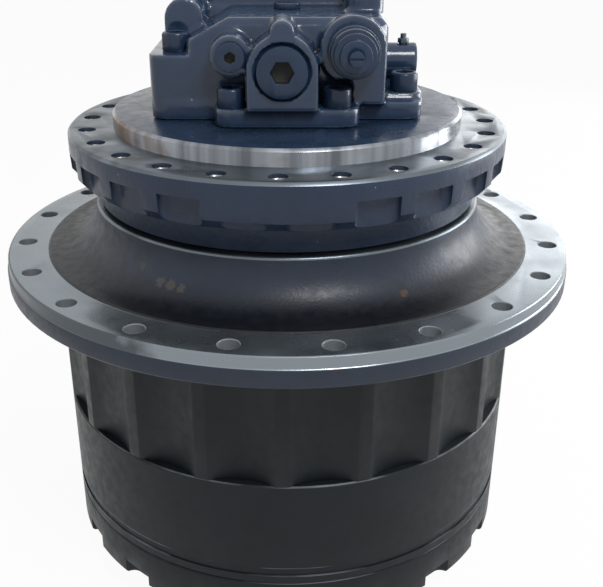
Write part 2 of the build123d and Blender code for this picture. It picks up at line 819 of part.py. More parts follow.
with BuildPart() as first_pins:
    with BuildSketch(Plane.XY.offset(first_gear_bottom - thrust_washer_thickness)):
        with PolarLocations(first_centre, planet_count, start_angle=front):
            Circle(first_pin_radius)
    extrude(amount=first_carrier_top - first_gear_bottom + thrust_washer_thickness)
    with BuildSketch(Plane.XY.offset(first_gear_bottom - thrust_washer_thickness)):
        with PolarLocations(first_centre, planet_count, start_angle=front):
            Circle(first_pin_radius + first_pin_head)
    extrude(amount=-first_pin_head)
keep(first_pins.part, "first_pins")

first_bore_radius = first_pin_radius + 2 * needle_radius + 2 * running_gap
second_bore_radius = second_pin_radius + 2 * needle_radius + 2 * running_gap
planet_pin_rows = (
    ("first", first_centre, first_pin_radius, first_gear_bottom, first_gear_width),
    ("second", second_centre, second_pin_radius, second_gear_bottom, second_gear_width),
)
for stage, centre, pin_radius, bottom, width in planet_pin_rows:
    with BuildPart() as needles:
        with BuildSketch(Plane.XY.offset(bottom + needle_end_gap)):
            with PolarLocations(centre, planet_count, start_angle=front):
                with PolarLocations(pin_radius + needle_radius + running_gap, needle_count):
                    Circle(needle_radius)
        extrude(amount=width - 2 * needle_end_gap)
    keep(needles.part, f"{stage}_needles")
    with BuildPart() as washers:
        for height in (bottom - thrust_washer_thickness, bottom + width + face_gap):
            with BuildSketch(Plane.XY.offset(height)):
                with PolarLocations(centre, planet_count, start_angle=front):
                    Circle(pin_radius + 2 * needle_radius + washer_overlap)
                    Circle(pin_radius + seat_gap, mode=Mode.SUBTRACT)
            extrude(amount=thrust_washer_thickness - face_gap)
    keep(washers.part, f"{stage}_washers")

# Planets of both stages, each turned so that a tooth points out into a space of the ring gear
planet_rows = (
    (*planet_pin_rows[0], first_planet_teeth, first_bore_radius),
    (*planet_pin_rows[1], second_planet_teeth, second_bore_radius),
)
for stage, centre, pin_radius, bottom, width, teeth, bore_radius in planet_rows:
    for number in range(planet_count):
        bearing = number * 360 / planet_count
        ring_share = (ring_teeth * bearing / 360) % 1
        planet_face = spur_face(teeth, front + bearing - ring_share * 360 / teeth)
        place = polar(centre, radians(front + bearing))
        with BuildPart() as planet:
            with BuildSketch(Plane(origin=(place[0], place[1], bottom))):
                add(planet_face)
                Circle(bore_radius, mode=Mode.SUBTRACT)
            extrude(amount=width)
        keep(planet.part, f"{stage}_planet_{number + 1}")

# First-stage carrier, splined to the second sun
with BuildPart() as first_carrier:
    with BuildSketch(Plane.XY.offset(first_carrier_bottom)):
        Circle(first_centre + first_pin_radius + 18)
        add(second_sun_socket, mode=Mode.SUBTRACT)
        with PolarLocations(first_centre, planet_count, start_angle=front):
            Circle(first_pin_radius + seat_gap, mode=Mode.SUBTRACT)
        with PolarLocations(first_centre, planet_count, start_angle=front + 180 / planet_count):
            Circle(first_pin_radius, mode=Mode.SUBTRACT)
    extrude(amount=first_carrier_thickness)
keep(first_carrier.part, "first_carrier")

with BuildPart() as second_sun:
    with BuildSketch(Plane.XY.offset(first_carrier_bottom)):
        add(second_sun_face)
        Circle(sun_bore_radius, mode=Mode.SUBTRACT)
    extrude(amount=second_gear_top - first_carrier_bottom)
keep(second_sun.part, "second_sun")

# Input sun on its shaft, joined to the motor shaft by a splined sleeve
with BuildPart() as input_sun:
    with BuildSketch(Plane.XY.offset(first_gear_bottom)):
        add(first_sun_face)
    extrude(amount=first_gear_width)
    with BuildSketch(Plane.XY.offset(first_gear_bottom)):
        Circle(sun_shaft_radius - 4)
    extrude(amount=-7)
    with BuildSketch(Plane.XY.offset(first_gear_bottom + first_gear_width)):
        Circle(sun_shaft_radius)
    extrude(amount=shaft_bottom - 1 - first_gear_bottom - first_gear_width)
keep(input_sun.part, "input_sun")

coupling_bottom = spindle_bottom + 2
coupling_top = oil_seal_bottom - 1
with BuildPart() as shaft_coupling:
    with BuildSketch(Plane.XY.offset(coupling_bottom)):
        Circle(coupling_radius)
        Circle(sun_shaft_radius + seat_gap, mode=Mode.SUBTRACT)
    extrude(amount=shaft_bottom - 0.5 - coupling_bottom)
    with BuildSketch(Plane.XY.offset(shaft_bottom - 0.5)):
        Circle(coupling_radius)
        Circle(shaft_radius - 1, mode=Mode.SUBTRACT)
    extrude(amount=coupling_top - shaft_bottom + 0.5)
keep(shaft_coupling.part, "shaft_coupling")

# Motor shaft with its bearings and seal
front_seat_radius = shaft_radius + 2
drive_shaft_profile = (
    (0, shaft_bottom),
    (shaft_radius - 1 - seat_gap, shaft_bottom),
    (shaft_radius - 1 - seat_gap, oil_seal_bottom),
    (shaft_radius, oil_seal_bottom),
    (shaft_radius, front_bearing_bottom),
    (front_seat_radius, front_bearing_bottom),
    (front_seat_radius, motor_floor),
    (shaft_radius, motor_floor),
    (shaft_radius, block_boss_bottom),
    (shaft_rear_radius, block_boss_bottom),
    (shaft_rear_radius, rear_bearing_top),
    (0, rear_bearing_top),
)
keep(turned_part(drive_shaft_profile), "drive_shaft")

oil_seal_part = ring_part(
    shaft_radius + running_gap, oil_seal_radius - seat_gap, oil_seal_bottom, oil_seal_width - face_gap
)
keep(oil_seal_part, "oil_seal")

shaft_race = 4.5
rear_bearing_bottom = block_boss_bottom + 3
rear_bearing_width = rear_bearing_top - 1 - rear_bearing_bottom
shaft_bearing_rows = (
    (front_bearing_bottom, front_seat_radius, front_bearing_radius, front_bearing_width),
    (rear_bearing_bottom, shaft_rear_radius, rear_bearing_radius, rear_bearing_width),
)
with BuildPart() as shaft_inner_rings:
    for bottom, bore, outer, width in shaft_bearing_rows:
        with BuildSketch(Plane.XY.offset(bottom + face_gap)):
            Circle(bore + shaft_race)
            Circle(bore + seat_gap, mode=Mode.SUBTRACT)
        extrude(amount=width - 2 * face_gap)
keep(shaft_inner_rings.part, "shaft_inner_rings")

with BuildPart() as shaft_outer_rings:
    for bottom, bore, outer, width in shaft_bearing_rows:
        with BuildSketch(Plane.XY.offset(bottom)):
            Circle(outer - seat_gap)
            Circle(outer - shaft_race, mode=Mode.SUBTRACT)
        extrude(amount=width)
keep(shaft_outer_rings.part, "shaft_outer_rings")

shaft_roller_count = 14
with BuildPart() as shaft_rollers:
    for bottom, bore, outer, width in shaft_bearing_rows:
        roller_radius = (outer - bore - 2 * shaft_race) / 2 - face_gap
        with BuildSketch(Plane.XY.offset(bottom + 2)):
            with PolarLocations((outer + bore) / 2, shaft_roller_count):
                Circle(roller_radius)
        extrude(amount=width - 4)
keep(shaft_rollers.part, "shaft_rollers")

# Swash plate on its two pivot balls and tilt piston
with BuildPart() as swash_plate:
    with BuildSketch(Plane.XY.offset(swash_bottom)):
        Circle(swash_plate_radius)
        Circle(shaft_radius + 8, mode=Mode.SUBTRACT)
    extrude(amount=swash_plate_thickness)
    with Locations(*[(side * pivot_circle_radius, 0, motor_floor + 4) for side in (-1, 1)]):
        Sphere(pivot_ball_radius + seat_gap, mode=Mode.SUBTRACT)
keep(swash_plate.part, "swash_plate")

with BuildPart() as swash_pivots:
    with Locations(*[(side * pivot_circle_radius, 0, motor_floor + 4) for side in (-1, 1)]):
        Sphere(pivot_ball_radius)
keep(swash_pivots.part, "swash_pivots")

with BuildPart() as tilt_piston:
    with Locations((0, pivot_circle_radius, motor_floor - 13)):
        Cylinder(
            pivot_ball_radius - seat_gap,
            swash_bottom - motor_floor + 13,
            align=(Align.CENTER, Align.CENTER, Align.MIN),
        )
keep(tilt_piston.part, "tilt_piston")

# Cylinder block with nine pistons, their shoes and the plate that holds the shoes down
cylinder_roof = cylinder_top - 13
with BuildPart() as cylinder_block:
    with BuildSketch(Plane.XY.offset(cylinder_bottom)):
        Circle(cylinder_block_radius)
        Circle(shaft_radius + seat_gap, mode=Mode.SUBTRACT)
    extrude(amount=cylinder_block_height)
    with BuildSketch(Plane.XY.offset(cylinder_bottom)):
        with PolarLocations(piston_circle_radius, piston_count):
            Circle(piston_radius + seat_gap)
    extrude(amount=cylinder_roof - cylinder_bottom, mode=Mode.SUBTRACT)
    with BuildSketch(Plane.XY.offset(cylinder_roof)):
        with PolarLocations(piston_circle_radius, piston_count):
            Circle(piston_radius / 2)
    extrude(amount=cylinder_top - cylinder_roof, mode=Mode.SUBTRACT)
keep(cylinder_block.part, "cylinder_block")

shoe_neck = piston_radius - 1.5
with BuildPart() as piston_shoes:
    with BuildSketch(Plane.XY.offset(swash_top + face_gap)):
        with PolarLocations(piston_circle_radius, piston_count):
            Circle(piston_radius + 2.5)
    extrude(amount=3)
    with BuildSketch(Plane.XY.offset(shoe_top)):
        with PolarLocations(piston_circle_radius, piston_count):
            Circle(shoe_neck)
    extrude(amount=7)
keep(piston_shoes.part, "piston_shoes")

with BuildPart() as pistons:
    with BuildSketch(Plane.XY.offset(shoe_top + 7)):
        with PolarLocations(piston_circle_radius, piston_count):
            Circle(piston_radius - 3)
    extrude(amount=6)
    with BuildSketch(Plane.XY.offset(shoe_top + 13)):
        with PolarLocations(piston_circle_radius, piston_count):
            Circle(piston_radius)
    extrude(amount=0.6 * cylinder_block_height)
keep(pistons.part, "pistons")

guide_radius = shaft_radius + 4
with BuildPart() as shoe_retainer:
    with BuildSketch(Plane.XY.offset(shoe_top + face_gap)):
        Circle(piston_circle_radius + piston_radius + 4)
        Circle(guide_radius + seat_gap, mode=Mode.SUBTRACT)
        with PolarLocations(piston_circle_radius, piston_count):
            Circle(shoe_neck + running_gap, mode=Mode.SUBTRACT)
    extrude(amount=3)
keep(shoe_retainer.part, "shoe_retainer")

guide_bottom = shoe_top + face_gap
retainer_guide = ring_part(
    shaft_radius + seat_gap, guide_radius, guide_bottom, cylinder_bottom - guide_bottom
)
keep(retainer_guide, "retainer_guide")

# Valve plate with its two kidney ports
with BuildPart() as valve_plate:
    with BuildSketch(Plane.XY.offset(cylinder_top + face_gap)):
        Circle(cylinder_block_radius - 1)
        Circle(shaft_radius + 2, mode=Mode.SUBTRACT)
        for start in (-65, 115):
            SlotArc(CenterArc((0, 0), piston_circle_radius, start, 130), piston_radius, mode=Mode.SUBTRACT)
    extrude(amount=valve_plate_thickness)
keep(valve_plate.part, "valve_plate")

# Parking brake: plates, spring-loaded piston and springs
with BuildPart() as brake_friction_plates:
    for pair in range(brake_plate_pairs):
        height = brake_bottom + 2 * pair * brake_plate_thickness + face_gap / 2
        with BuildSketch(Plane.XY.offset(height)):
            Circle(motor_bore_radius - 4)
            Circle(cylinder_block_radius + seat_gap, mode=Mode.SUBTRACT)
        extrude(amount=brake_plate_thickness - face_gap)
keep(brake_friction_plates.part, "brake_friction_plates")

with BuildPart() as brake_steel_plates:
    for pair in range(brake_plate_pairs):
        height = brake_bottom + (2 * pair + 1) * brake_plate_thickness
        with BuildSketch(Plane.XY.offset(height)):
            Circle(motor_bore_radius - seat_gap)
            Circle(cylinder_block_radius + 4, mode=Mode.SUBTRACT)
        extrude(amount=brake_plate_thickness)
keep(brake_steel_plates.part, "brake_steel_plates")

with BuildPart() as brake_piston:
    with BuildSketch(Plane.XY.offset(brake_top)):
        Circle(motor_bore_radius - running_gap)
        Circle(cylinder_block_radius + 4, mode=Mode.SUBTRACT)
    extrude(amount=brake_piston_height)
    with BuildSketch(Plane.XY.offset(brake_piston_top)):
        with PolarLocations(brake_spring_circle, brake_spring_count):
            Circle(brake_spring_radius + running_gap)
    extrude(amount=-brake_spring_pocket, mode=Mode.SUBTRACT)
keep(brake_piston.part, "brake_piston")

with BuildPart() as brake_springs:
    with BuildSketch(Plane.XY.offset(brake_piston_top - brake_spring_pocket)):
        with PolarLocations(brake_spring_circle, brake_spring_count):
            Circle(brake_spring_radius)
            Circle(brake_spring_radius - 1.5, mode=Mode.SUBTRACT)
    extrude(amount=block_boss_bottom - brake_piston_top + brake_spring_pocket)
keep(brake_springs.part, "brake_springs")

# Valve block: motor end cover with the counterbalance, relief and speed valves in one casting
body_front = block_body_depth / 2
plug_foot = spool_length / 2 + spool_end_room
spring_well = spool_boss_reach - spring_seat_wall
shoulder_width = (block_base_width - block_body_width) / 2 + shoulder_overlap
shoulder_rows = ((-1, left_bolt_seat, left_shoulder_depth), (1, right_bolt_seat, right_shoulder_depth))
with BuildPart() as valve_block:
    with BuildSketch(Plane.XY.offset(spigot_top)):
        RectangleRounded(block_base_width, block_base_depth, block_corner)
        RectangleRounded(block_front_width, 2 * block_front_reach, block_corner)
    extrude(amount=block_pad_height)
    with BuildSketch(Plane.XY.offset(pad_top)):
        RectangleRounded(block_body_width, block_body_depth, block_corner)
    extrude(amount=body_top - pad_top)
    chamfer(valve_block.faces().sort_by(Axis.Z)[-1].edges(), block_edge_chamfer)
    with BuildSketch(front_plane.offset(body_front + 1)):
        with BuildLine():
            Polyline(
                (-deck_slope_start, body_top + 1),
                (-deck_slope_start, body_top),
                (-block_body_width / 2 - 1, body_top - deck_slope_drop),
                (-block_body_width / 2 - 1, body_top + 1),
                close=True,
            )
        make_face()
    extrude(amount=-body_front - 1 - deck_slope_rear, mode=Mode.SUBTRACT)
    for side, seat, depth in shoulder_rows:
        with BuildSketch(Plane.XY.offset(pad_top)):
            with Locations((side * (block_base_width - shoulder_width) / 2, 0)):
                RectangleRounded(shoulder_width, depth, shoulder_corner)
        extrude(amount=seat - pad_top)
    with BuildSketch(Plane.XY.offset(body_top - block_overlap)):
        with Locations((0, body_front - rear_pad_depth / 2)):
            RectangleRounded(block_body_width - 2 * rear_pad_inset, rear_pad_depth, shoulder_corner)
    extrude(amount=rear_top - body_top + block_overlap)
    with BuildSketch(Plane.XY.offset(body_top - block_overlap)):
        with Locations((lug_offset, 0)):
            RectangleRounded(lug_width, lug_depth, shoulder_corner)
    extrude(amount=block_overlap + lug_rise)
    for side, plane in ((1, front_plane), (-1, rear_plane)):
        with BuildSketch(plane.offset(spool_boss_reach)):
            with Locations((side * spool_offset, spool_height)):
                Circle(spool_boss_radius)
            with Locations((side * spool_offset, spool_height - spool_boss_foot / 2)):
                Rectangle(2 * spool_boss_radius, spool_boss_foot)
            with Locations((side * spool_offset, spool_height + spool_boss_radius + spool_nub_rise)):
                Circle(spool_nub_radius)
        extrude(amount=body_front - spool_boss_reach - block_overlap)
        with BuildSketch(plane.offset(relief_boss_reach)):
            with Locations((relief_offset, relief_height)):
                Circle(relief_boss_radius)
            with Locations((relief_offset + relief_boss_radius / 2, (relief_height + pad_top) / 2)):
                Rectangle(relief_boss_radius, relief_height - pad_top)
        extrude(amount=body_front - relief_boss_reach - block_overlap)
    with BuildSketch(front_plane.offset(gallery_boss_reach)):
        with Locations((gallery_offset, gallery_height)):
            Circle(gallery_plug_radius + gallery_boss_wall)
    extrude(amount=body_front - gallery_boss_reach - block_overlap)
    with BuildSketch(front_plane.offset(-speed_boss_rear)):
        with Locations((speed_offset, speed_height)):
            Circle(speed_boss_radius)
        with Locations((speed_offset, (speed_height + left_bolt_seat) / 2 - 5)):
            Rectangle(2 * speed_boss_radius, speed_height - left_bolt_seat + 10)
    extrude(amount=speed_boss_length)
    with BuildSketch(Plane.XY.offset(speed_height)):
        with Locations((speed_offset, pilot_port_place)):
            Circle(pilot_boss_radius)
    extrude(amount=pilot_port_mouth - speed_height)
    with BuildSketch(Plane.YZ.offset(block_body_width / 2 - block_overlap)):
        with Locations((side_boss_place, side_boss_height)):
            Circle(side_boss_radius)
    extrude(amount=side_boss_length)
    with BuildSketch(Plane.XY.offset(spigot_top)):
        Circle(motor_bore_radius - seat_gap)
    extrude(amount=block_boss_bottom - spigot_top)
    with BuildSketch(Plane.XY.offset(block_boss_bottom)):
        Circle(rear_bearing_radius)
    extrude(amount=rear_bearing_top + 1 - block_boss_bottom, mode=Mode.SUBTRACT)
    for x, y, seat in block_bolt_seats:
        with BuildSketch(Plane.XY.offset(seat)):
            with Locations((x, y)):
                Circle(0.75 * block_bolt_diameter + head_clearance)
        extrude(amount=block_bolt_diameter + head_recess_over, mode=Mode.SUBTRACT)
        with BuildSketch(Plane.XY.offset(seat)):
            with Locations((x, y)):
                Circle(block_bolt_diameter / 2 + bolt_hole_gap)
        extrude(amount=spigot_top - seat, mode=Mode.SUBTRACT)
    with BuildSketch(front_plane.offset(spool_boss_reach)):
        with Locations((spool_offset, spool_height)):
            Circle(spool_radius + running_gap)
    extrude(amount=-2 * spool_boss_reach, mode=Mode.SUBTRACT)
    for side, plane in ((1, front_plane), (-1, rear_plane)):
        with BuildSketch(plane.offset(spool_boss_reach)):
            with Locations((side * spool_offset, spool_height)):
                Circle(spool_plug_radius - spool_thread_step)
        extrude(amount=plug_foot - spool_boss_reach, mode=Mode.SUBTRACT)
        with BuildSketch(plane.offset(spool_boss_reach)):
            with Locations((side * spool_offset, spool_height)):
                Circle(spool_plug_radius + spool_recess_gap)
        extrude(amount=-spool_recess_depth, mode=Mode.SUBTRACT)
        with BuildSketch(plane.offset(relief_boss_reach)):
            with Locations((relief_offset, relief_height)):
                Circle(relief_bore_radius)
        extrude(amount=-relief_bore_depth, mode=Mode.SUBTRACT)
    with BuildSketch(front_plane.offset(gallery_boss_reach)):
        with Locations((gallery_offset, gallery_height)):
            Circle(gallery_plug_radius - gallery_thread_step)
    extrude(amount=-gallery_bore_depth, mode=Mode.SUBTRACT)
    with BuildSketch(Plane.XY.offset(rear_top)):
        with Locations(*[(side * port_spacing / 2, body_front - port_set_in) for side in (-1, 1)]):
            Circle(port_radius)
    extrude(amount=-port_depth, mode=Mode.SUBTRACT)
    with BuildSketch(Plane.XY.offset(rear_top)):
        with Locations((0, body_front - port_set_in)):
            Circle(drain_port_radius)
    extrude(amount=-port_depth, mode=Mode.SUBTRACT)
    with BuildSketch(front_plane.offset(-speed_bore_rear)):
        with Locations((speed_offset, speed_height)):
            Circle(speed_spool_radius + running_gap)
    extrude(amount=speed_bore_length, mode=Mode.SUBTRACT)
    with BuildSketch(Plane.XY.offset(pilot_port_mouth)):
        with Locations((speed_offset, pilot_port_place)):
            Circle(pilot_port_radius)
    extrude(amount=-pilot_port_depth, mode=Mode.SUBTRACT)
    with BuildSketch(Plane.XY.offset(body_top)):
        with Locations((0, deck_plug_place)):
            Circle(gallery_plug_radius - gallery_thread_step)
    extrude(amount=-deck_plug_depth, mode=Mode.SUBTRACT)
    with BuildSketch(Plane.XY.offset(nipple_seat)):
        with Locations((nipple_offset, side_boss_place)):
            Circle(nipple_radius)
    extrude(amount=-nipple_bore_depth, mode=Mode.SUBTRACT)
keep(valve_block.part, "valve_block")

# Cap screws that hold the valve block to the casing
block_screws = [
    Pos(x, y, seat) * socket_screw(block_bolt_diameter, seat - spigot_top + block_bolt_reach - 4)
    for x, y, seat in block_bolt_seats
]
with BuildPart() as valve_block_bolts:
    add(block_screws)
keep(valve_block_bolts.part, "valve_block_bolts")

# Counterbalance spool between two springs, closed by hex-socket plugs
with BuildPart() as counterbalance_spool:
    with BuildSketch(front_plane.offset(spool_length / 2)):
        with Locations((spool_offset, spool_height)):
            Circle(spool_radius)
    extrude(amount=-spool_length)
    for place in (-spool_groove_pitch, 0, spool_groove_pitch):
        with BuildSketch(front_plane.offset(place + spool_groove_width / 2)):
            with Locations((spool_offset, spool_height)):
                Circle(spool_radius + 1)
                Circle(spool_radius - spool_groove_depth, mode=Mode.SUBTRACT)
        extrude(amount=-spool_groove_width, mode=Mode.SUBTRACT)
keep(counterbalance_spool.part, "counterbalance_spool")

with BuildPart() as spool_plugs:
    for side, plane in ((1, front_plane), (-1, rear_plane)):
        with BuildSketch(plane.offset(spool_boss_reach - spool_recess_depth)):
            with Locations((side * spool_offset, spool_height)):
                Circle(spool_plug_radius)
        extrude(amount=spool_plug_height)
        with BuildSketch(plane.offset(spool_boss_reach - spool_recess_depth)):
            with Locations((side * spool_offset, spool_height)):
                Circle(spool_plug_radius - spool_thread_step - seat_gap)
        extrude(amount=plug_foot + spool_recess_depth - spool_boss_reach)
        with BuildSketch(plane.offset(plug_foot)):
            with Locations((side * spool_offset, spool_height)):
                Circle(spool_radius)
        extrude(amount=spring_well - plug_foot, mode=Mode.SUBTRACT)
        with BuildSketch(plane.offset(spool_boss_reach - spool_recess_depth + spool_plug_height)):
            with Locations((side * spool_offset, spool_height)):
                RegularPolygon(spool_plug_hex, 6, major_radius=False)
        extrude(amount=-spool_plug_hex_depth, mode=Mode.SUBTRACT)
keep(spool_plugs.part, "spool_plugs")

with BuildPart() as spool_springs:
    spring_foot = spool_length / 2 + spool_travel + 0.5
    for side, plane in ((1, front_plane), (-1, rear_plane)):
        with BuildSketch(plane.offset(spring_foot)):
            with Locations((side * spool_offset, spool_height)):
                Circle(spool_radius - spring_outer_gap)
                Circle(spool_radius - spring_outer_gap - spring_wire, mode=Mode.SUBTRACT)
        extrude(amount=spring_well - spring_foot)
keep(spool_springs.part, "spool_springs")

# Small hex-socket plugs over the drilled galleries
with BuildPart() as gallery_plugs:
    for plane in (
        Plane(origin=(gallery_offset, -gallery_boss_reach, gallery_height), z_dir=(0, -1, 0)),
        Plane(origin=(0, deck_plug_place, body_top)),
    ):
        with BuildSketch(plane):
            Circle(gallery_plug_radius)
        extrude(amount=5)
        with BuildSketch(plane):
            Circle(gallery_plug_radius - gallery_thread_step - seat_gap)
        extrude(amount=-11)
        with BuildSketch(plane.offset(5)):
            RegularPolygon(4, 6, major_radius=False)
        extrude(amount=-6, mode=Mode.SUBTRACT)
keep(gallery_plugs.part, "gallery_plugs")

# Relief valves: stepped cartridges with a slotted adjuster at the nose
cap_length = sum(length for radius, length in relief_cap_steps)
with BuildPart() as relief_valves:
    for plane in (front_plane, rear_plane):
        step_start = relief_boss_reach
        for radius, length in relief_cap_steps:
            with BuildSketch(plane.offset(step_start)):
                with Locations((relief_offset, relief_height)):
                    Circle(radius)
            extrude(amount=length)
            step_start += length
        with BuildSketch(plane.offset(relief_boss_reach)):
            with Locations((relief_offset, relief_height)):
                Circle(relief_bore_radius - seat_gap)
        extrude(amount=2 - relief_bore_depth)
        with BuildSketch(plane.offset(relief_boss_reach + cap_length)):
            with Locations((relief_offset, relief_height)):
                Circle(adjuster_radius)
        extrude(amount=-adjuster_seat, mode=Mode.SUBTRACT)
keep(relief_valves.part, "relief_valves")

with BuildPart() as relief_adjusters:
    for plane in (front_plane, rear_plane):
        with BuildSketch(plane.offset(relief_boss_reach + cap_length - adjuster_seat)):
            with Locations((relief_offset, relief_height)):
                Circle(adjuster_radius - seat_gap)
        extrude(amount=relief_nose - cap_length + adjuster_seat)
        with BuildSketch(plane.offset(relief_boss_reach + relief_nose)):
            with Locations((relief_offset, relief_height)):
                Rectangle(2 * adjuster_radius + 2, 1.8)
        extrude(amount=-2.5, mode=Mode.SUBTRACT)
keep(relief_adjusters.part, "relief_adjusters")

# Two-speed spool, pushed forward by pilot oil from the port above its rear end
speed_groove_width = speed_spool_length / 3
with BuildPart() as speed_spool:
    with BuildSketch(front_plane.offset(face_gap - speed_bore_rear)):
        with Locations((speed_offset, speed_height)):
            Circle(speed_spool_radius)
    extrude(amount=speed_spool_length)
    with BuildSketch(front_plane.offset(face_gap + speed_groove_width - speed_bore_rear)):
        with Locations((speed_offset, speed_height)):
            Circle(speed_spool_radius + 1)
            Circle(speed_spool_radius - 2, mode=Mode.SUBTRACT)
    extrude(amount=speed_groove_width, mode=Mode.SUBTRACT)
keep(speed_spool.part, "speed_spool")

# Bleed nipple on the side boss
with BuildPart() as bleed_nipple:
    with BuildSketch(Plane.XY.offset(nipple_seat + 1 - nipple_bore_depth)):
        with Locations((nipple_offset, side_boss_place)):
            Circle(nipple_radius - seat_gap)
    extrude(amount=nipple_bore_depth - 1)
    with BuildSketch(Plane.XY.offset(nipple_seat)):
        with Locations((nipple_offset, side_boss_place)):
            RegularPolygon(nipple_hex, 6, major_radius=False)
    extrude(amount=nipple_hex_height)
    with BuildSketch(Plane.XY.offset(nipple_seat + nipple_hex_height)):
        with Locations((nipple_offset, side_boss_place)):
            Circle(0.7 * nipple_radius)
    extrude(amount=nipple_tip_height)
keep(bleed_nipple.part, "bleed_nipple")
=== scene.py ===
"""Looks of an excavator final drive: painted castings, turned flanges, cap screws and plugs."""

import json
import math

import bmesh
import bpy
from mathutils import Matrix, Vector


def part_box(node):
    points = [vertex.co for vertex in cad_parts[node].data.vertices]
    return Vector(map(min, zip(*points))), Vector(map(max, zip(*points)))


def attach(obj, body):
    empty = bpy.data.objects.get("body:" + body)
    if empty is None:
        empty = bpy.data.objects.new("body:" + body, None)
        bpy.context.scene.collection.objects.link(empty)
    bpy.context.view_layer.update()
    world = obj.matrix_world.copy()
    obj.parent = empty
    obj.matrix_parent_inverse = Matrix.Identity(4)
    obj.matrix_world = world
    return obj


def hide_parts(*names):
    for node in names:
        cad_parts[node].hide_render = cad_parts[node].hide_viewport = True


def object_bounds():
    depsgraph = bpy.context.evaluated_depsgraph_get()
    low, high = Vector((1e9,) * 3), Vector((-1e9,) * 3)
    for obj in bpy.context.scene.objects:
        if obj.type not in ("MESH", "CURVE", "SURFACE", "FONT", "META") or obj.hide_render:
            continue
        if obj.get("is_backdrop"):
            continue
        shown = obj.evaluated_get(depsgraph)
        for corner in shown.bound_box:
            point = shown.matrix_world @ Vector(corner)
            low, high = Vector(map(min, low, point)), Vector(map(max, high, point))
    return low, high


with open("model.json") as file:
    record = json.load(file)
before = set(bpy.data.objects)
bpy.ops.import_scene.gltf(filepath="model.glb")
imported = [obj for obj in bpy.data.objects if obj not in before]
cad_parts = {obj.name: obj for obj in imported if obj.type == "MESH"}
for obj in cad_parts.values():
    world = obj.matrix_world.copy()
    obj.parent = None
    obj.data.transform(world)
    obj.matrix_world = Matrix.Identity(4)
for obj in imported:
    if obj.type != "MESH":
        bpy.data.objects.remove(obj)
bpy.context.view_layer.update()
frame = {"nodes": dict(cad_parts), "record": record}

bl_info = {
    "name": "Final drive looks",
    "version": (1, 0, 0),
    "blender": (4, 5, 0),
    "location": "View3D > Sidebar > Final drive",
    "description": "Dresses a packed final drive with castings, turned faces, screws and a studio stage",
    "category": "Object",
}

MM = 0.001
MOUNTS = {mount["name"]: mount for mount in frame["record"]["mounts"]}
FRAME_FACE = MOUNTS["frame_face"]["pos_m"][2]
SPROCKET_FACE = MOUNTS["sprocket_face"]["pos_m"][2]
SPIGOT_RADIUS = MOUNTS["frame_spigot"]["dims"]["r_mm"] * MM
# Slack for comparing heights and radii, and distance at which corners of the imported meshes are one
HAIR = 0.1 * MM
WELD = 0.01 * MM
# Share of a plug's radius within which its faces are the walls of its socket
SOCKET_SHARE = 0.48
# Degrees past which an edge is rounded and past which it is shaded sharp; the hub's ribs bend less
EDGE_BEND = 35
SHARP_BEND = 32
RIB_EDGE_BEND = 25
RIB_SHARP_BEND = 22
# Heights in mm of painted highlight lines on the drum's lips: top edge, both lips of the groove, joint
# of the end cover
DRUM_LIP_HIGHLIGHTS = (174.3, 88.4, 79.6, 70.6)
# Heights in mm between which the painted shade on the neck's foot fades, from the sprocket flange up
NECK_FOOT_SHADE = (321.0, 346.0)
# Scuffs and a rust spot on the neck: place in metres, radius in mm and colour
NECK_MARKS = (
    ((-0.1213, -0.1436, 0.343), 4, "#4A4744"),
    ((-0.1045, -0.1625, 0.3375), 5, "#544E49"),
    ((-0.0953, -0.168, 0.3358), 5, "#544E49"),
    ((-0.086, -0.1725, 0.3345), 4, "#544E49"),
    ((0.0955, -0.174, 0.3323), 4, "#5A4434"),
)
# Pattern sizes in mm: drift of a paint's tone, dust, chips, oil patches, torn edges and broken lines
DRIFT_MM = 45
DUST_MM = 9
CHIP_MM = 3.2
OIL_PATCH_MM = 38
RAGGED_MM = 2.5
LINE_BREAK_MM = 60
# A lathe feeds about 0.2 mm a turn, which is too fine to show, so its rings are drawn at 0.9 mm
LATHE_RING_MM = 0.9
# Places from left to right, in metres, between which the painted shade on the left side fades
SHADED_SIDE = (-0.16, -0.07)
# Painted reflection stripes of a turned wall, per radian
REFLECTION_STRIPES = 7
# Radius of the floor in metres, and share of its white that the camera and reflections see
FLOOR_RADIUS = 8
FLOOR_GLOW = 0.95
# Share of the object's height at which the lamps aim
AIM_SHARE = 0.6


def linear(code):
    """Linear colour of an sRGB hex value."""
    parts = [int(code[place:place + 2], 16) / 255 for place in (1, 3, 5)]
    return tuple(
        part / 12.92 if part <= 0.04045 else ((part + 0.055) / 1.055) ** 2.4 for part in parts
    )


def toned(colour, share):
    """Opaque colour made darker or lighter by a share."""
    return (*[min(1, share * part) for part in colour], 1)


def length_property(label, words, millimetres):
    """Length in metres with its default given in millimetres."""
    return bpy.props.FloatProperty(
        name=label, description=words, default=millimetres * MM, unit="LENGTH", precision=5
    )


def colour_property(label, words, code):
    """Colour with its default given as an sRGB hex value."""
    return bpy.props.FloatVectorProperty(
        name=label, description=words, subtype="COLOR", size=3, min=0, max=1, default=linear(code)
    )


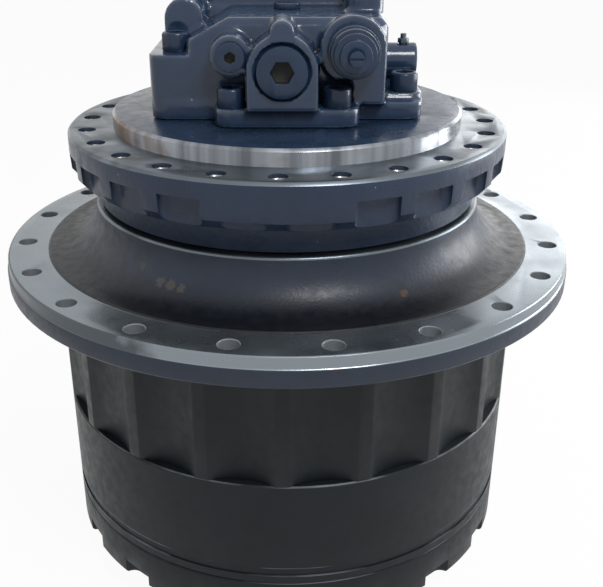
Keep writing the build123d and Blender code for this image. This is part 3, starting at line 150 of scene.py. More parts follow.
class DriveSizes(bpy.types.PropertyGroup):
    """Sizes of edges, threads and screws."""

    casting_voxel: length_property("Casting voxel", "Grid on which the valve block is rounded", 1.9)
    plug_edge: length_property("Plug edge", "Rounding of plugs, caps and nipples", 0.6)
    casing_edge: length_property("Casing edge", "Rounding of the frame flange casting", 2.2)
    hub_edge: length_property("Hub edge", "Rounding of the sprocket hub's edges", 0.9)
    cover_edge: length_property("Cover edge", "Rounding of the end cover's lobes", 1.2)
    machined_band: length_property("Machined band", "Turned height of the sprocket flange's rim", 11.0)
    flange_thickness: length_property("Flange thickness", "Thickness of the sprocket flange", 27.0)
    turned_chamfer: length_property("Turned chamfer", "Width of bare chamfers beside turned faces", 3.0)
    thread_pitch: length_property("Thread pitch", "Pitch of the threads in the frame flange", 2.0)
    thread_depth: length_property("Thread depth", "Depth of the threads that show", 26.0)
    screw_head_radius: length_property("Screw head radius", "Radius of the cap screws' heads", 12.0)
    screw_head_height: length_property("Screw head height", "Height of the cap screws' heads", 16.0)
    screw_shank_radius: length_property("Screw shank radius", "Radius of the cap screws' shanks", 7.9)
    screw_socket: length_property("Screw socket", "Hexagon socket across flats", 14.0)
    sprocket_hole_turn: bpy.props.FloatProperty(
        name="Sprocket hole turn", description="Turn of the first sprocket hole from the front",
        default=math.radians(8), subtype="ANGLE",
    )
    frame_hole_turn: bpy.props.FloatProperty(
        name="Frame hole turn", description="Turn of the first frame hole from the front",
        default=math.radians(-2.1), subtype="ANGLE",
    )


class DriveColours(bpy.types.PropertyGroup):
    """Colours of the paints and metals."""

    block_paint: colour_property("Valve block paint", "Glossy slate-blue paint", "#283B55")
    casing_paint: colour_property("Casing paint", "Satin blue-grey paint", "#283449")
    drum_paint: colour_property("Drum paint", "Satin charcoal paint", "#1A1F22")
    turned_steel: colour_property("Turned steel", "Bare turned steel", "#858D93")
    neck_iron: colour_property("Hub neck", "Dark as-cast iron", "#2B3341")
    spigot_steel: colour_property("Spigot steel", "Bright turned spigot", "#9499A0")
    face_steel: colour_property("Frame face steel", "Turned frame face under a film of oil", "#646C73")
    screw_steel: colour_property("Screw steel", "Alloy steel under a thin coat", "#4C555E")
    # Its colour also tints the painted shade on the spigot's left side
    oil_stain: colour_property("Oil stain", "Dried oil on bare metal", "#6B5238")
    rust: colour_property("Rust", "Rust specks", "#8A4A22")
    floor: colour_property("Floor", "Pale studio floor", "#F2F2F2")


class DriveStage(bpy.types.PropertyGroup):
    """Camera and lights."""

    camera_back: length_property("Camera back", "Distance of the camera in front of the axis", 833.1)
    camera_height: length_property("Camera height", "Height of the camera over the floor", 630.1)
    camera_pitch: bpy.props.FloatProperty(
        name="Camera pitch", description="Downward tilt of the camera",
        default=math.radians(24.41), subtype="ANGLE",
    )
    camera_lens: bpy.props.FloatProperty(
        name="Focal length", description="Focal length on a 36 mm sensor", default=53.3
    )
    camera_shift: bpy.props.FloatProperty(
        name="Camera shift", description="Sideways shift of the frame", default=0.0239
    )
    key_power: bpy.props.FloatProperty(
        name="Key light", description="Watts of the key light", default=20.0
    )
    side_power: bpy.props.FloatProperty(
        name="Side light", description="Watts of the right side light", default=26.0
    )
    fill_power: bpy.props.FloatProperty(
        name="Fill light", description="Watts of the left side light", default=1.625
    )
    back_power: bpy.props.FloatProperty(
        name="Back light", description="Watts of the light behind the object", default=8.0
    )
    sky_strength: bpy.props.FloatProperty(
        name="Sky", description="Strength of the soft light from all round", default=0.26
    )


def add_node(tree, kind, inputs=None, **settings):
    """Adds a node, with settings as attributes and inputs as values or links."""
    made = tree.nodes.new(kind)
    for name, value in settings.items():
        setattr(made, name, value)
    for name, value in (inputs or {}).items():
        if isinstance(value, bpy.types.NodeSocket):
            tree.links.new(value, made.inputs[name])
        else:
            made.inputs[name].default_value = value
    return made


def start_material(name):
    """Empty material with its tree, output and object coordinates."""
    material = bpy.data.materials.new(name)
    material.use_nodes = True
    tree = material.node_tree
    tree.nodes.clear()
    place = add_node(tree, "ShaderNodeTexCoord").outputs["Object"]
    return material, tree, place


def end_material(tree, shader):
    """Joins the shader to the material's output."""
    add_node(tree, "ShaderNodeOutputMaterial", {"Surface": shader.outputs["BSDF"]})


def per_metre(millimetres):
    """Texture scale at which one pattern cell is that many millimetres wide."""
    return 1 / (millimetres * MM)


def add_marks(tree, place, colour, marks):
    """Colour output with ragged spots: each mark is (place, radius in mm, sRGB hex value)."""
    ragged = add_node(
        tree, "ShaderNodeTexNoise", {"Vector": place, "Scale": per_metre(RAGGED_MM), "Detail": 5}
    )
    for spot, radius, code in marks:
        away = add_node(tree, "ShaderNodeVectorMath", {0: place, 1: spot}, operation="DISTANCE")
        near = add_node(
            tree, "ShaderNodeMapRange",
            {"Value": away.outputs["Value"], "From Min": 0, "From Max": 1.6 * radius * MM,
             "To Min": 0.75, "To Max": 0},
        )
        torn = add_node(
            tree, "ShaderNodeMath", {0: near.outputs["Result"], 1: ragged.outputs["Fac"]},
            operation="ADD",
        )
        amount = add_node(
            tree, "ShaderNodeMapRange",
            {"Value": torn.outputs["Value"], "From Min": 0.72, "From Max": 0.95, "To Max": 0.7},
        )
        mixed = add_node(
            tree, "ShaderNodeMix", {0: amount.outputs["Result"], 6: colour, 7: (*linear(code), 1)},
            data_type="RGBA",
        )
        colour = mixed.outputs[2]
    return colour


def add_highlight_lines(tree, place, colour, heights, highlight_colour):
    """Colour output with thin broken painted highlight lines round the axis at given heights in mm."""
    split = add_node(tree, "ShaderNodeSeparateXYZ", {"Vector": place})
    broken = add_node(
        tree, "ShaderNodeTexNoise", {"Vector": place, "Scale": per_metre(LINE_BREAK_MM), "Detail": 2}
    )
    shown = add_node(
        tree, "ShaderNodeMapRange",
        {"Value": broken.outputs["Fac"], "From Min": 0.45, "From Max": 0.6, "To Max": 0.55},
    )
    # Painted highlight: a thin lighter line at each height
    for height in heights:
        near = add_node(
            tree, "ShaderNodeMath", {0: split.outputs["Z"], 1: height * MM, 2: 0.5 * MM},
            operation="COMPARE",
        )
        amount = add_node(
            tree, "ShaderNodeMath", {0: near.outputs["Value"], 1: shown.outputs["Result"]},
            operation="MULTIPLY",
        )
        highlit = add_node(
            tree, "ShaderNodeMix", {0: amount.outputs["Value"], 6: colour, 7: (*highlight_colour, 1)},
            data_type="RGBA",
        )
        colour = highlit.outputs[2]
    return colour


def add_foot_shade(tree, place, colour, band):
    """Colour output that blackens towards the lower of two heights in mm: painted shade at the foot."""
    if not band:
        return colour
    split = add_node(tree, "ShaderNodeSeparateXYZ", {"Vector": place})
    # Painted shade: the colour blackens towards the lower height
    amount = add_node(
        tree, "ShaderNodeMapRange",
        {"Value": split.outputs["Z"], "From Min": band[0] * MM, "From Max": band[1] * MM,
         "To Min": 0.9, "To Max": 0},
        interpolation_type="SMOOTHSTEP",
    )
    darkened = add_node(
        tree, "ShaderNodeMix", {0: amount.outputs["Result"], 6: colour, 7: (0, 0, 0, 1)},
        data_type="RGBA",
    )
    return darkened.outputs[2]


def painted_iron(name, colour, roughness, grain_mm, grain_depth, chip_and_highlight_colour, chip_start, coat,
                 specular, marks=(), edge_wear_and_painted_light=0.0, highlight_heights=(), foot_shade_band=None):
    """Sprayed enamel over sand-cast iron: a rolling skin, drift of tone, chips, edges lightened as worn
    paint and painted highlight, and hollows darkened as painted shade.
    """
    material, tree, place = start_material(name)
    drift, dust, specks, skin = [
        add_node(
            tree, "ShaderNodeTexNoise", {"Vector": place, "Scale": per_metre(cell), "Detail": detail}
        )
        for cell, detail in ((DRIFT_MM, 4), (DUST_MM, 6), (CHIP_MM, 3), (grain_mm, 3))
    ]
    tone = add_node(
        tree, "ShaderNodeMix",
        {0: drift.outputs["Fac"], 6: toned(colour, 0.72), 7: toned(colour, 1.35)}, data_type="RGBA",
    )
    chip = add_node(
        tree, "ShaderNodeMapRange",
        {"Value": specks.outputs["Fac"], "From Min": chip_start, "From Max": chip_start + 0.03},
    )
    # Painted highlight and shade: edges lighten towards the chip colour, partly as worn paint, and
    # hollows darken
    bend = add_node(tree, "ShaderNodeNewGeometry").outputs["Pointiness"]
    edge = add_node(
        tree, "ShaderNodeMapRange",
        {"Value": bend, "From Min": 0.52, "From Max": 0.60, "To Max": edge_wear_and_painted_light},
    )
    hollow_shade = add_node(
        tree, "ShaderNodeMapRange",
        {"Value": bend, "From Min": 0.42, "From Max": 0.49, "To Min": 2 * edge_wear_and_painted_light, "To Max": 0},
    )
    worn_and_highlit = add_node(
        tree, "ShaderNodeMix",
        {0: edge.outputs["Result"], 6: tone.outputs[2], 7: (*chip_and_highlight_colour, 1)},
        data_type="RGBA",
    )
    hollow_shaded = add_node(
        tree, "ShaderNodeMix",
        {0: hollow_shade.outputs["Result"], 6: worn_and_highlit.outputs[2], 7: toned(colour, 0.15)},
        data_type="RGBA",
    )
    chipped = add_node(
        tree, "ShaderNodeMix",
        {0: chip.outputs["Result"], 6: hollow_shaded.outputs[2], 7: (*chip_and_highlight_colour, 1)},
        data_type="RGBA",
    )
    sheen = add_node(
        tree, "ShaderNodeMapRange",
        {"Value": dust.outputs["Fac"], "From Min": 0.3, "From Max": 0.75,
         "To Min": roughness - 0.06, "To Max": roughness + 0.12},
    )
    bump = add_node(
        tree, "ShaderNodeBump",
        {"Height": skin.outputs["Fac"], "Strength": 0.6, "Distance": grain_depth * MM},
    )
    foot_shaded = add_foot_shade(tree, place, chipped.outputs[2], foot_shade_band)
    marked = add_marks(tree, place, foot_shaded, marks)
    shader = add_node(
        tree, "ShaderNodeBsdfPrincipled",
        {"Base Color": add_highlight_lines(tree, place, marked, highlight_heights, chip_and_highlight_colour),
         "Roughness": sheen.outputs["Result"], "Normal": bump.outputs["Normal"],
         "Specular IOR Level": specular, "Coat Weight": coat, "Coat Roughness": 0.1},
    )
    end_material(tree, shader)
    return material


def turned_metal(name, colour, roughness, stain_and_shade_colour, stain_and_shade_start, left_side_shade=0.0, reflection_stripes=0.0):
    """Bare steel off the lathe: fine rings about the axis, dried oil in patches, painted shade on the
    left side, and dark painted reflection stripes by angle.
    """
    material, tree, place = start_material(name)
    split = add_node(tree, "ShaderNodeSeparateXYZ", {"Vector": place})
    flat = add_node(tree, "ShaderNodeCombineXYZ", {"X": split.outputs["X"], "Y": split.outputs["Y"]})
    radius = add_node(tree, "ShaderNodeVectorMath", {0: flat.outputs["Vector"]}, operation="LENGTH")
    spread = add_node(
        tree, "ShaderNodeCombineXYZ", {"X": radius.outputs["Value"], "Y": split.outputs["Z"]}
    )
    rings = add_node(
        tree, "ShaderNodeTexNoise",
        {"Vector": spread.outputs["Vector"], "Scale": per_metre(LATHE_RING_MM), "Detail": 3,
         "Roughness": 0.7},
    )
    patch = add_node(
        tree, "ShaderNodeTexNoise", {"Vector": place, "Scale": per_metre(OIL_PATCH_MM), "Detail": 6}
    )
    # Painted shade: the colour darkens towards the left side
    side = add_node(
        tree, "ShaderNodeMapRange",
        {"Value": split.outputs["X"], "From Min": SHADED_SIDE[0], "From Max": SHADED_SIDE[1],
         "To Min": left_side_shade, "To Max": 0},
    )
    patch_and_side_shade = add_node(
        tree, "ShaderNodeMath", {0: patch.outputs["Fac"], 1: side.outputs["Result"]}, operation="ADD"
    )
    # The stain mask holds the oil patches and the painted shade on the left side
    stain = add_node(
        tree, "ShaderNodeMapRange",
        {"Value": patch_and_side_shade.outputs["Value"], "From Min": stain_and_shade_start, "From Max": stain_and_shade_start + 0.2,
         "To Max": 0.7},
    )
    tone = add_node(
        tree, "ShaderNodeMix",
        {0: rings.outputs["Fac"], 6: toned(colour, 0.86), 7: toned(colour, 1.1)}, data_type="RGBA",
    )
    bearing = add_node(
        tree, "ShaderNodeMath", {0: split.outputs["Y"], 1: split.outputs["X"]}, operation="ARCTAN2"
    )
    # Painted reflection: dark bands round the turned wall, by angle
    reflection_bands = add_node(
        tree, "ShaderNodeTexNoise", {"W": bearing.outputs["Value"], "Scale": REFLECTION_STRIPES, "Detail": 3},
        noise_dimensions="1D",
    )
    reflection_stripe = add_node(
        tree, "ShaderNodeMapRange",
        {"Value": reflection_bands.outputs["Fac"], "From Min": 0.4, "From Max": 0.65, "To Max": reflection_stripes},
    )
    reflection_striped = add_node(
        tree, "ShaderNodeMix",
        {0: reflection_stripe.outputs["Result"], 6: tone.outputs[2], 7: toned(colour, 0.3)}, data_type="RGBA",
    )
    stained_and_shaded = add_node(
        tree, "ShaderNodeMix",
        {0: stain.outputs["Result"], 6: reflection_striped.outputs[2], 7: (*stain_and_shade_colour, 1)},
        data_type="RGBA",
    )
    gloss = add_node(
        tree, "ShaderNodeMapRange",
        {"Value": patch.outputs["Fac"], "From Min": 0.3, "From Max": 0.7,
         "To Min": roughness - 0.05, "To Max": roughness + 0.12},
    )
    bump = add_node(
        tree, "ShaderNodeBump", {"Height": rings.outputs["Fac"], "Strength": 0.25, "Distance": 0.05 * MM}
    )
    shader = add_node(
        tree, "ShaderNodeBsdfPrincipled",
        {"Base Color": stained_and_shaded.outputs[2], "Metallic": 0.9, "Roughness": gloss.outputs["Result"],
         "Normal": bump.outputs["Normal"]},
    )
    end_material(tree, shader)
    return material


def plain_metal(name, colour, metallic, roughness, grain_mm):
    """Machined or moulded inner surface: one tone with a fine grain."""
    material, tree, place = start_material(name)
    grain = add_node(
        tree, "ShaderNodeTexNoise", {"Vector": place, "Scale": per_metre(grain_mm), "Detail": 4}
    )
    tone = add_node(
        tree, "ShaderNodeMix",
        {0: grain.outputs["Fac"], 6: toned(colour, 0.8), 7: toned(colour, 1.2)}, data_type="RGBA",
    )
    bump = add_node(
        tree, "ShaderNodeBump", {"Height": grain.outputs["Fac"], "Strength": 0.2, "Distance": 0.05 * MM}
    )
    shader = add_node(
        tree, "ShaderNodeBsdfPrincipled",
        {"Base Color": tone.outputs[2], "Metallic": metallic, "Roughness": roughness,
         "Normal": bump.outputs["Normal"]},
    )
    end_material(tree, shader)
    return material


def finish_named(name):
    """Material by name, made on first use from the scene's colours."""
    if name in bpy.data.materials:
        return bpy.data.materials[name]
    colours = bpy.context.scene.drive_colours
    steel = tuple(colours.turned_steel)
    stain = tuple(colours.oil_stain)
    blasted = {
        "colour": tuple(colours.neck_iron), "roughness": 0.38, "grain_mm": 2.6, "grain_depth": 0.3,
        "chip_and_highlight_colour": tuple(colours.rust), "chip_start": 0.76, "coat": 0.0, "specular": 0.3,
    }
    makers = {
        # Gloss enamel on cast iron: wet highlights along every cast corner, edges lightened as worn
        # paint and painted highlight, hollows darkened as painted shade
        "block_enamel": lambda: painted_iron(
            name, tuple(colours.block_paint), roughness=0.20, grain_mm=5.0, grain_depth=0.30,
            chip_and_highlight_colour=steel, chip_start=0.77, coat=0.35, specular=0.3, edge_wear_and_painted_light=0.5),
        # The same enamel on turned steel: darker and smoother than on the casting
        "plug_enamel": lambda: painted_iron(
            name, toned(colours.block_paint, 0.75)[:3], roughness=0.26, grain_mm=6.0, grain_depth=0.10,
            chip_and_highlight_colour=steel, chip_start=0.80, coat=0.1, specular=0.3),
        # Satin enamel on coarser cast iron: soft broken highlights
        "casing_enamel": lambda: painted_iron(
            name, tuple(colours.casing_paint), roughness=0.32, grain_mm=5.0, grain_depth=0.55,
            chip_and_highlight_colour=steel, chip_start=0.73, coat=0.05, specular=0.3),
        # Thin satin enamel on turned steel: near black with a low sheen, with painted highlight lines
        # along its lips
        "drum_enamel": lambda: painted_iron(
            name, tuple(colours.drum_paint), roughness=0.42, grain_mm=2.4, grain_depth=0.10,
            chip_and_highlight_colour=steel, chip_start=0.80, coat=0.0, specular=0.18, highlight_heights=DRUM_LIP_HIGHLIGHTS),
        # Shot-blasted ductile iron: dull dark grey, black with painted shade at its foot, scuffs and
        # rust
        "neck_iron": lambda: painted_iron(name, **blasted, marks=NECK_MARKS, foot_shade_band=NECK_FOOT_SHADE),
        # The same iron without the painted shade, on the lower half of the flange's rim
        "flange_iron": lambda: painted_iron(name, **blasted),
        # Lathe-turned steel: fine rings that stretch the highlights
        "turned_steel": lambda: turned_metal(name, steel, 0.25, stain, 0.68),
        # The same steel under a film of oil: greyer and softer, with painted shade on one side
        "dulled_steel": lambda: turned_metal(
            name, tuple(colours.face_steel), 0.30, linear("#2E3338"), 0.62, left_side_shade=0.22),
        # The flange's rim: the same steel, with painted shade on one side
        "rim_steel": lambda: turned_metal(name, steel, 0.25, linear("#24282C"), 0.68, left_side_shade=0.6),
        # Bright turned steel with dried oil: dark painted reflection stripes, and brown painted shade on
        # one side
        "stained_steel": lambda: turned_metal(
            name, tuple(colours.spigot_steel), 0.26, stain, 0.60, left_side_shade=0.3, reflection_stripes=0.8),
        # Drilled hole walls: pale dull steel that catches light from above
        "bored_steel": lambda: plain_metal(name, linear("#8C9297"), 0.3, 0.45, 1.2),
        # Phosphate-coated alloy steel: dark with a dull metal gleam
        "coated_screw_steel": lambda: plain_metal(name, tuple(colours.screw_steel), 0.75, 0.36, 1.5),
        # Ground bearing and gear steel: clean and bright
        "ground_steel": lambda: plain_metal(name, linear("#9A9B9C"), 1.0, 0.28, 1.2),
        # Machined ductile iron: grey with a slight grain
        "carrier_iron": lambda: plain_metal(name, linear("#6C6D6F"), 0.8, 0.5, 2.0),
        # Cast bearing bronze: warm, softly polished
        "bearing_bronze": lambda: plain_metal(name, linear("#A97F4B"), 1.0, 0.35, 1.6),
        # Painted shade in screw and plug sockets, where their deep hollows are dark: black and dull
        "socket_shade": lambda: plain_metal(name, linear("#0E0F11"), 0.0, 0.7, 1.5),
        # Nitrile rubber: black and matt
        "nitrile_rubber": lambda: plain_metal(name, linear("#17181A"), 0.0, 0.6, 1.0),
    }
    return makers[name]()


def merged_copy(node, piece):
    """Copy of a CAD node with its doubles merged and its flat faces joined."""
    mesh = frame["nodes"][node].data.copy()
    mesh.materials.clear()
    made = bpy.data.objects.new(piece, mesh)
    bpy.context.scene.collection.objects.link(made)
    shape = bmesh.new()
    shape.from_mesh(mesh)
    bmesh.ops.remove_doubles(shape, verts=shape.verts, dist=WELD)
    flat = math.radians(0.6)
    bmesh.ops.dissolve_limit(
        shape, angle_limit=flat, verts=shape.verts, edges=shape.edges, delimit={"NORMAL"}
    )
    shape.to_mesh(mesh)
    shape.free()
    return made


def applied(piece):
    """Turns the piece's modifiers into plain mesh."""
    graph = bpy.context.evaluated_depsgraph_get()
    made = bpy.data.meshes.new_from_object(piece.evaluated_get(graph))
    piece.modifiers.clear()
    piece.data = made
    return piece


def round_edges(piece, width, degrees=EDGE_BEND):
    """Rounds the piece's edges that bend by more than the given angle."""
    edge = piece.modifiers.new("edges", "BEVEL")
    edge.width = width
    edge.segments = 2
    edge.limit_method = "ANGLE"
    edge.angle_limit = math.radians(degrees)
    edge.use_clamp_overlap = True
    return applied(piece)


def shade(piece, degrees=SHARP_BEND):
    """Smooth shading that stays crisp at real edges."""
    piece.data.shade_smooth()
    piece.data.set_sharp_from_angle(angle=math.radians(degrees))


def dress(piece, body, node, finishes, zone=None):
    """Gives the piece its finishes, named by zone, and puts it on its body in place of its node."""
    for finish in finishes:
        piece.data.materials.append(finish_named(finish))
    if zone:
        points = [vertex.co for vertex in piece.data.vertices]
        for face in piece.data.polygons:
            face.material_index = finishes.index(zone([points[place] for place in face.vertices]))
    shade(piece)
    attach(piece, body)
    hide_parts(node)


def reach(corners):
    """Least radius, and lowest and highest height, of a face's corners."""
    radii = [math.hypot(corner.x, corner.y) for corner in corners]
    heights = [corner.z for corner in corners]
    return min(radii), min(heights), max(heights)


def beside_hole(corners, circle, count, turn, limit):
    """Whether all corners lie within a limit of the axis of one hole of a bolt circle."""
    pitch = 2 * math.pi / count
    for corner in corners:
        angle = math.atan2(corner.y, corner.x) + math.pi / 2 - turn
        off = (angle + pitch / 2) % pitch - pitch / 2
        radius = math.hypot(corner.x, corner.y)
        if math.hypot(radius * math.cos(off) - circle, radius * math.sin(off)) > limit:
            return False
    return True


def islands(mesh):
    """Boxes of the separate solids in a mesh, as pairs of corners."""
    shape = bmesh.new()
    shape.from_mesh(mesh)
    bmesh.ops.remove_doubles(shape, verts=shape.verts, dist=WELD)
    left = set(shape.verts)
    boxes = []
    while left:
        queue = [left.pop()]
        found = []
        while queue:
            vert = queue.pop()
            found.append(vert.co.copy())
            for edge in vert.link_edges:
                other = edge.other_vert(vert)
                if other in left:
                    left.remove(other)
                    queue.append(other)
        low = Vector([min(point[axis] for point in found) for axis in range(3)])
        high = Vector([max(point[axis] for point in found) for axis in range(3)])
        boxes.append((low, high))
    shape.free()
    return sorted(boxes, key=lambda box: (round(box[0].x, 4), round(box[0].y, 4)))


def socket_zone(mesh, outside, socket):
    """Zone that tells the finish of a plug's outside from that of its socket, near its axis."""
    boxes = islands(mesh)

    def zone(corners):
        for low, high in boxes:
            if all(low[side] - HAIR <= corners[0][side] <= high[side] + HAIR for side in range(3)):
                break
        size = high - low
        across = min(((0, 1), (0, 2), (1, 2)), key=lambda pair: abs(size[pair[0]] - size[pair[1]]))
        middle = (low + high) / 2
        limit = SOCKET_SHARE * size[across[0]] / 2
        away = [math.hypot(*[corner[side] - middle[side] for side in across]) for corner in corners]
        return socket if max(away) < limit else outside

    return zone


def repeat_on_points(name, points, template, material, stretches=None):
    """Mesh object with the template's mesh at every point, stretched in height, by Geometry Nodes."""
    spots = bpy.data.meshes.new(f"{name}_points")
    spots.from_pydata([tuple(point) for point in points], [], [])
    stretch = spots.attributes.new("stretch", "FLOAT_VECTOR", "POINT")
    for place, height in enumerate(stretches or [1] * len(points)):
        stretch.data[place].vector = (1, 1, height)
    made = bpy.data.objects.new(name, spots)
    bpy.context.scene.collection.objects.link(made)
    tree = bpy.data.node_groups.new(f"{name}_nodes", "GeometryNodeTree")
    tree.interface.new_socket("Points", in_out="INPUT", socket_type="NodeSocketGeometry")
    shape_input = tree.interface.new_socket("Shape", in_out="INPUT", socket_type="NodeSocketObject")
    finish_input = tree.interface.new_socket(
        "Finish", in_out="INPUT", socket_type="NodeSocketMaterial"
    )
    tree.interface.new_socket("Result", in_out="OUTPUT", socket_type="NodeSocketGeometry")
    given = add_node(tree, "NodeGroupInput")
    shape = add_node(tree, "GeometryNodeObjectInfo", {"Object": given.outputs["Shape"]})
    scale = add_node(
        tree, "GeometryNodeInputNamedAttribute", {"Name": "stretch"}, data_type="FLOAT_VECTOR"
    )
    placed = add_node(
        tree, "GeometryNodeInstanceOnPoints",
        {"Points": given.outputs["Points"], "Instance": shape.outputs["Geometry"],
         "Scale": scale.outputs["Attribute"]},
    )
    real = add_node(tree, "GeometryNodeRealizeInstances", {"Geometry": placed.outputs["Instances"]})
    finished = add_node(
        tree, "GeometryNodeSetMaterial",
        {"Geometry": real.outputs["Geometry"], "Material": given.outputs["Finish"]},
    )
    add_node(tree, "NodeGroupOutput", {"Result": finished.outputs["Geometry"]})
    repeat = made.modifiers.new("repeat", "NODES")
    repeat.node_group = tree
    repeat[shape_input.identifier] = template
    repeat[finish_input.identifier] = material
    applied(made)
    bpy.data.objects.remove(template)
    return made


def lathe_rows(rows, sides, capped=True):
    """Mesh turned from rows of (height, radius), where a radius may depend on the angle."""
    shape = bmesh.new()
    loops = []
    for height, radii in rows:
        loop = []
        for side in range(sides):
            angle = 2 * math.pi * side / sides
            radius = radii(angle) if callable(radii) else radii
            point = (radius * math.cos(angle), radius * math.sin(angle), height)
            loop.append(shape.verts.new(point))
        loops.append(loop)
    for lower, upper in zip(loops, loops[1:]):
        for side in range(sides):
            ahead = (side + 1) % sides
            shape.faces.new((lower[side], lower[ahead], upper[ahead], upper[side]))
    if capped:
        shape.faces.new(list(reversed(loops[0])))
        shape.faces.new(loops[-1])
        bmesh.ops.recalc_face_normals(shape, faces=shape.faces)
    return shape


def new_piece(name, shape):
    """Object made from a finished bmesh."""
    mesh = bpy.data.meshes.new(name)
    shape.to_mesh(mesh)
    shape.free()
    made = bpy.data.objects.new(name, mesh)
    bpy.context.scene.collection.objects.link(made)
    return made


def join(piece, other):
    """Adds another object's mesh and finish to the piece."""
    shape = bmesh.new()
    shape.from_mesh(piece.data)
    first = len(shape.faces)
    shape.from_mesh(other.data)
    shape.faces.ensure_lookup_table()
    for face in shape.faces[first:]:
        face.material_index = len(piece.data.materials)
    shape.to_mesh(piece.data)
    shape.free()
    piece.data.materials.append(other.data.materials[0])
    bpy.data.objects.remove(other)


def hexagon(flats):
    """Radius of a hexagon of that size across flats, by angle."""
    def radius(angle):
        turn = (angle + math.pi / 6) % (math.pi / 3) - math.pi / 6
        return flats / 2 / math.cos(turn)
    return radius


class DRIVE_OT_valve_block(bpy.types.Operator):
    """Cast valve block with rounded corners and a rolling cast skin."""

    bl_idname = "drive.valve_block"
    bl_label = "Valve block casting"

    def execute(self, context):
        sizes = context.scene.drive_sizes
        piece = merged_copy("valve_block", "valve_block_casting")
        grid = piece.modifiers.new("grid", "REMESH")
        grid.mode = "VOXEL"
        grid.voxel_size = sizes.casting_voxel
        soften = piece.modifiers.new("soften", "SMOOTH")
        soften.factor = 0.5
        soften.iterations = 5
        applied(piece)
        dress(piece, "casing", "valve_block", ["block_enamel"])
        return {"FINISHED"}


class DRIVE_OT_motor_casing(bpy.types.Operator):
    """Motor casing with painted sides, turned frame face and bright spigot."""

    bl_idname = "drive.motor_casing"
    bl_label = "Motor casing"

    def execute(self, context):
        sizes = context.scene.drive_sizes
        piece = round_edges(merged_copy("motor_casing", "motor_casing_shell"), sizes.casing_edge)
        edge = sizes.turned_chamfer

        def zone(corners):
            inner, low, high = reach(corners)
            if low > FRAME_FACE - HAIR and inner > SPIGOT_RADIUS - edge:
                return "stained_steel" if high > FRAME_FACE + HAIR else "dulled_steel"
            if low > FRAME_FACE + HAIR:
                return "plug_enamel"
            if low > FRAME_FACE - edge and inner > SPIGOT_RADIUS:
                return "dulled_steel"
            return "casing_enamel"

        finishes = ["casing_enamel", "dulled_steel", "stained_steel", "plug_enamel"]
        dress(piece, "casing", "motor_casing", finishes, zone)
        return {"FINISHED"}


class DRIVE_OT_sprocket_hub(bpy.types.Operator):
    """Sprocket hub with a dark fluted skirt, turned flange and blasted neck."""

    bl_idname = "drive.sprocket_hub"
    bl_label = "Sprocket hub"

    def execute(self, context):
        sizes = context.scene.drive_sizes
        piece = round_edges(merged_copy("hub", "sprocket_hub"), sizes.hub_edge, RIB_EDGE_BEND)
        pattern = MOUNTS["sprocket_bolts"]["dims"]
        circle = pattern["pcd_mm"] * MM / 2
        wall = pattern["hole_r_mm"] * MM + 2 * sizes.hub_edge
        neck_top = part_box("hub")[1].z
        flange_bottom = SPROCKET_FACE - sizes.flange_thickness

        def zone(corners):
            inner, low, high = reach(corners)
            if beside_hole(corners, circle, pattern["count"], sizes.sprocket_hole_turn, wall):
                return "bored_steel"
            if low > SPROCKET_FACE + HAIR:
                return "dulled_steel" if low > neck_top - sizes.turned_chamfer else "neck_iron"
            if low > SPROCKET_FACE - sizes.machined_band:
                return "rim_steel" if inner > circle and high - low > HAIR else "turned_steel"
            return "flange_iron" if inner > circle and low > flange_bottom - HAIR else "drum_enamel"

        finishes = [
            "drum_enamel", "turned_steel", "neck_iron", "bored_steel", "rim_steel", "flange_iron",
            "dulled_steel",
        ]
        dress(piece, "hub", "hub", finishes, zone)
        shade(piece, RIB_SHARP_BEND)
        return {"FINISHED"}


class DRIVE_OT_drum(bpy.types.Operator):
    """Ring gear and end cover in charcoal enamel, with painted highlight lines along their lips."""

    bl_idname = "drive.drum"
    bl_label = "Ring gear and end cover"

    def execute(self, context):
        sizes = context.scene.drive_sizes
        ring = merged_copy("ring_gear", "ring_gear_drum")
        dress(ring, "hub", "ring_gear", ["drum_enamel"])
        cover = round_edges(merged_copy("end_cover", "lobed_end_cover"), sizes.cover_edge)
        dress(cover, "hub", "end_cover", ["drum_enamel"])
        return {"FINISHED"}


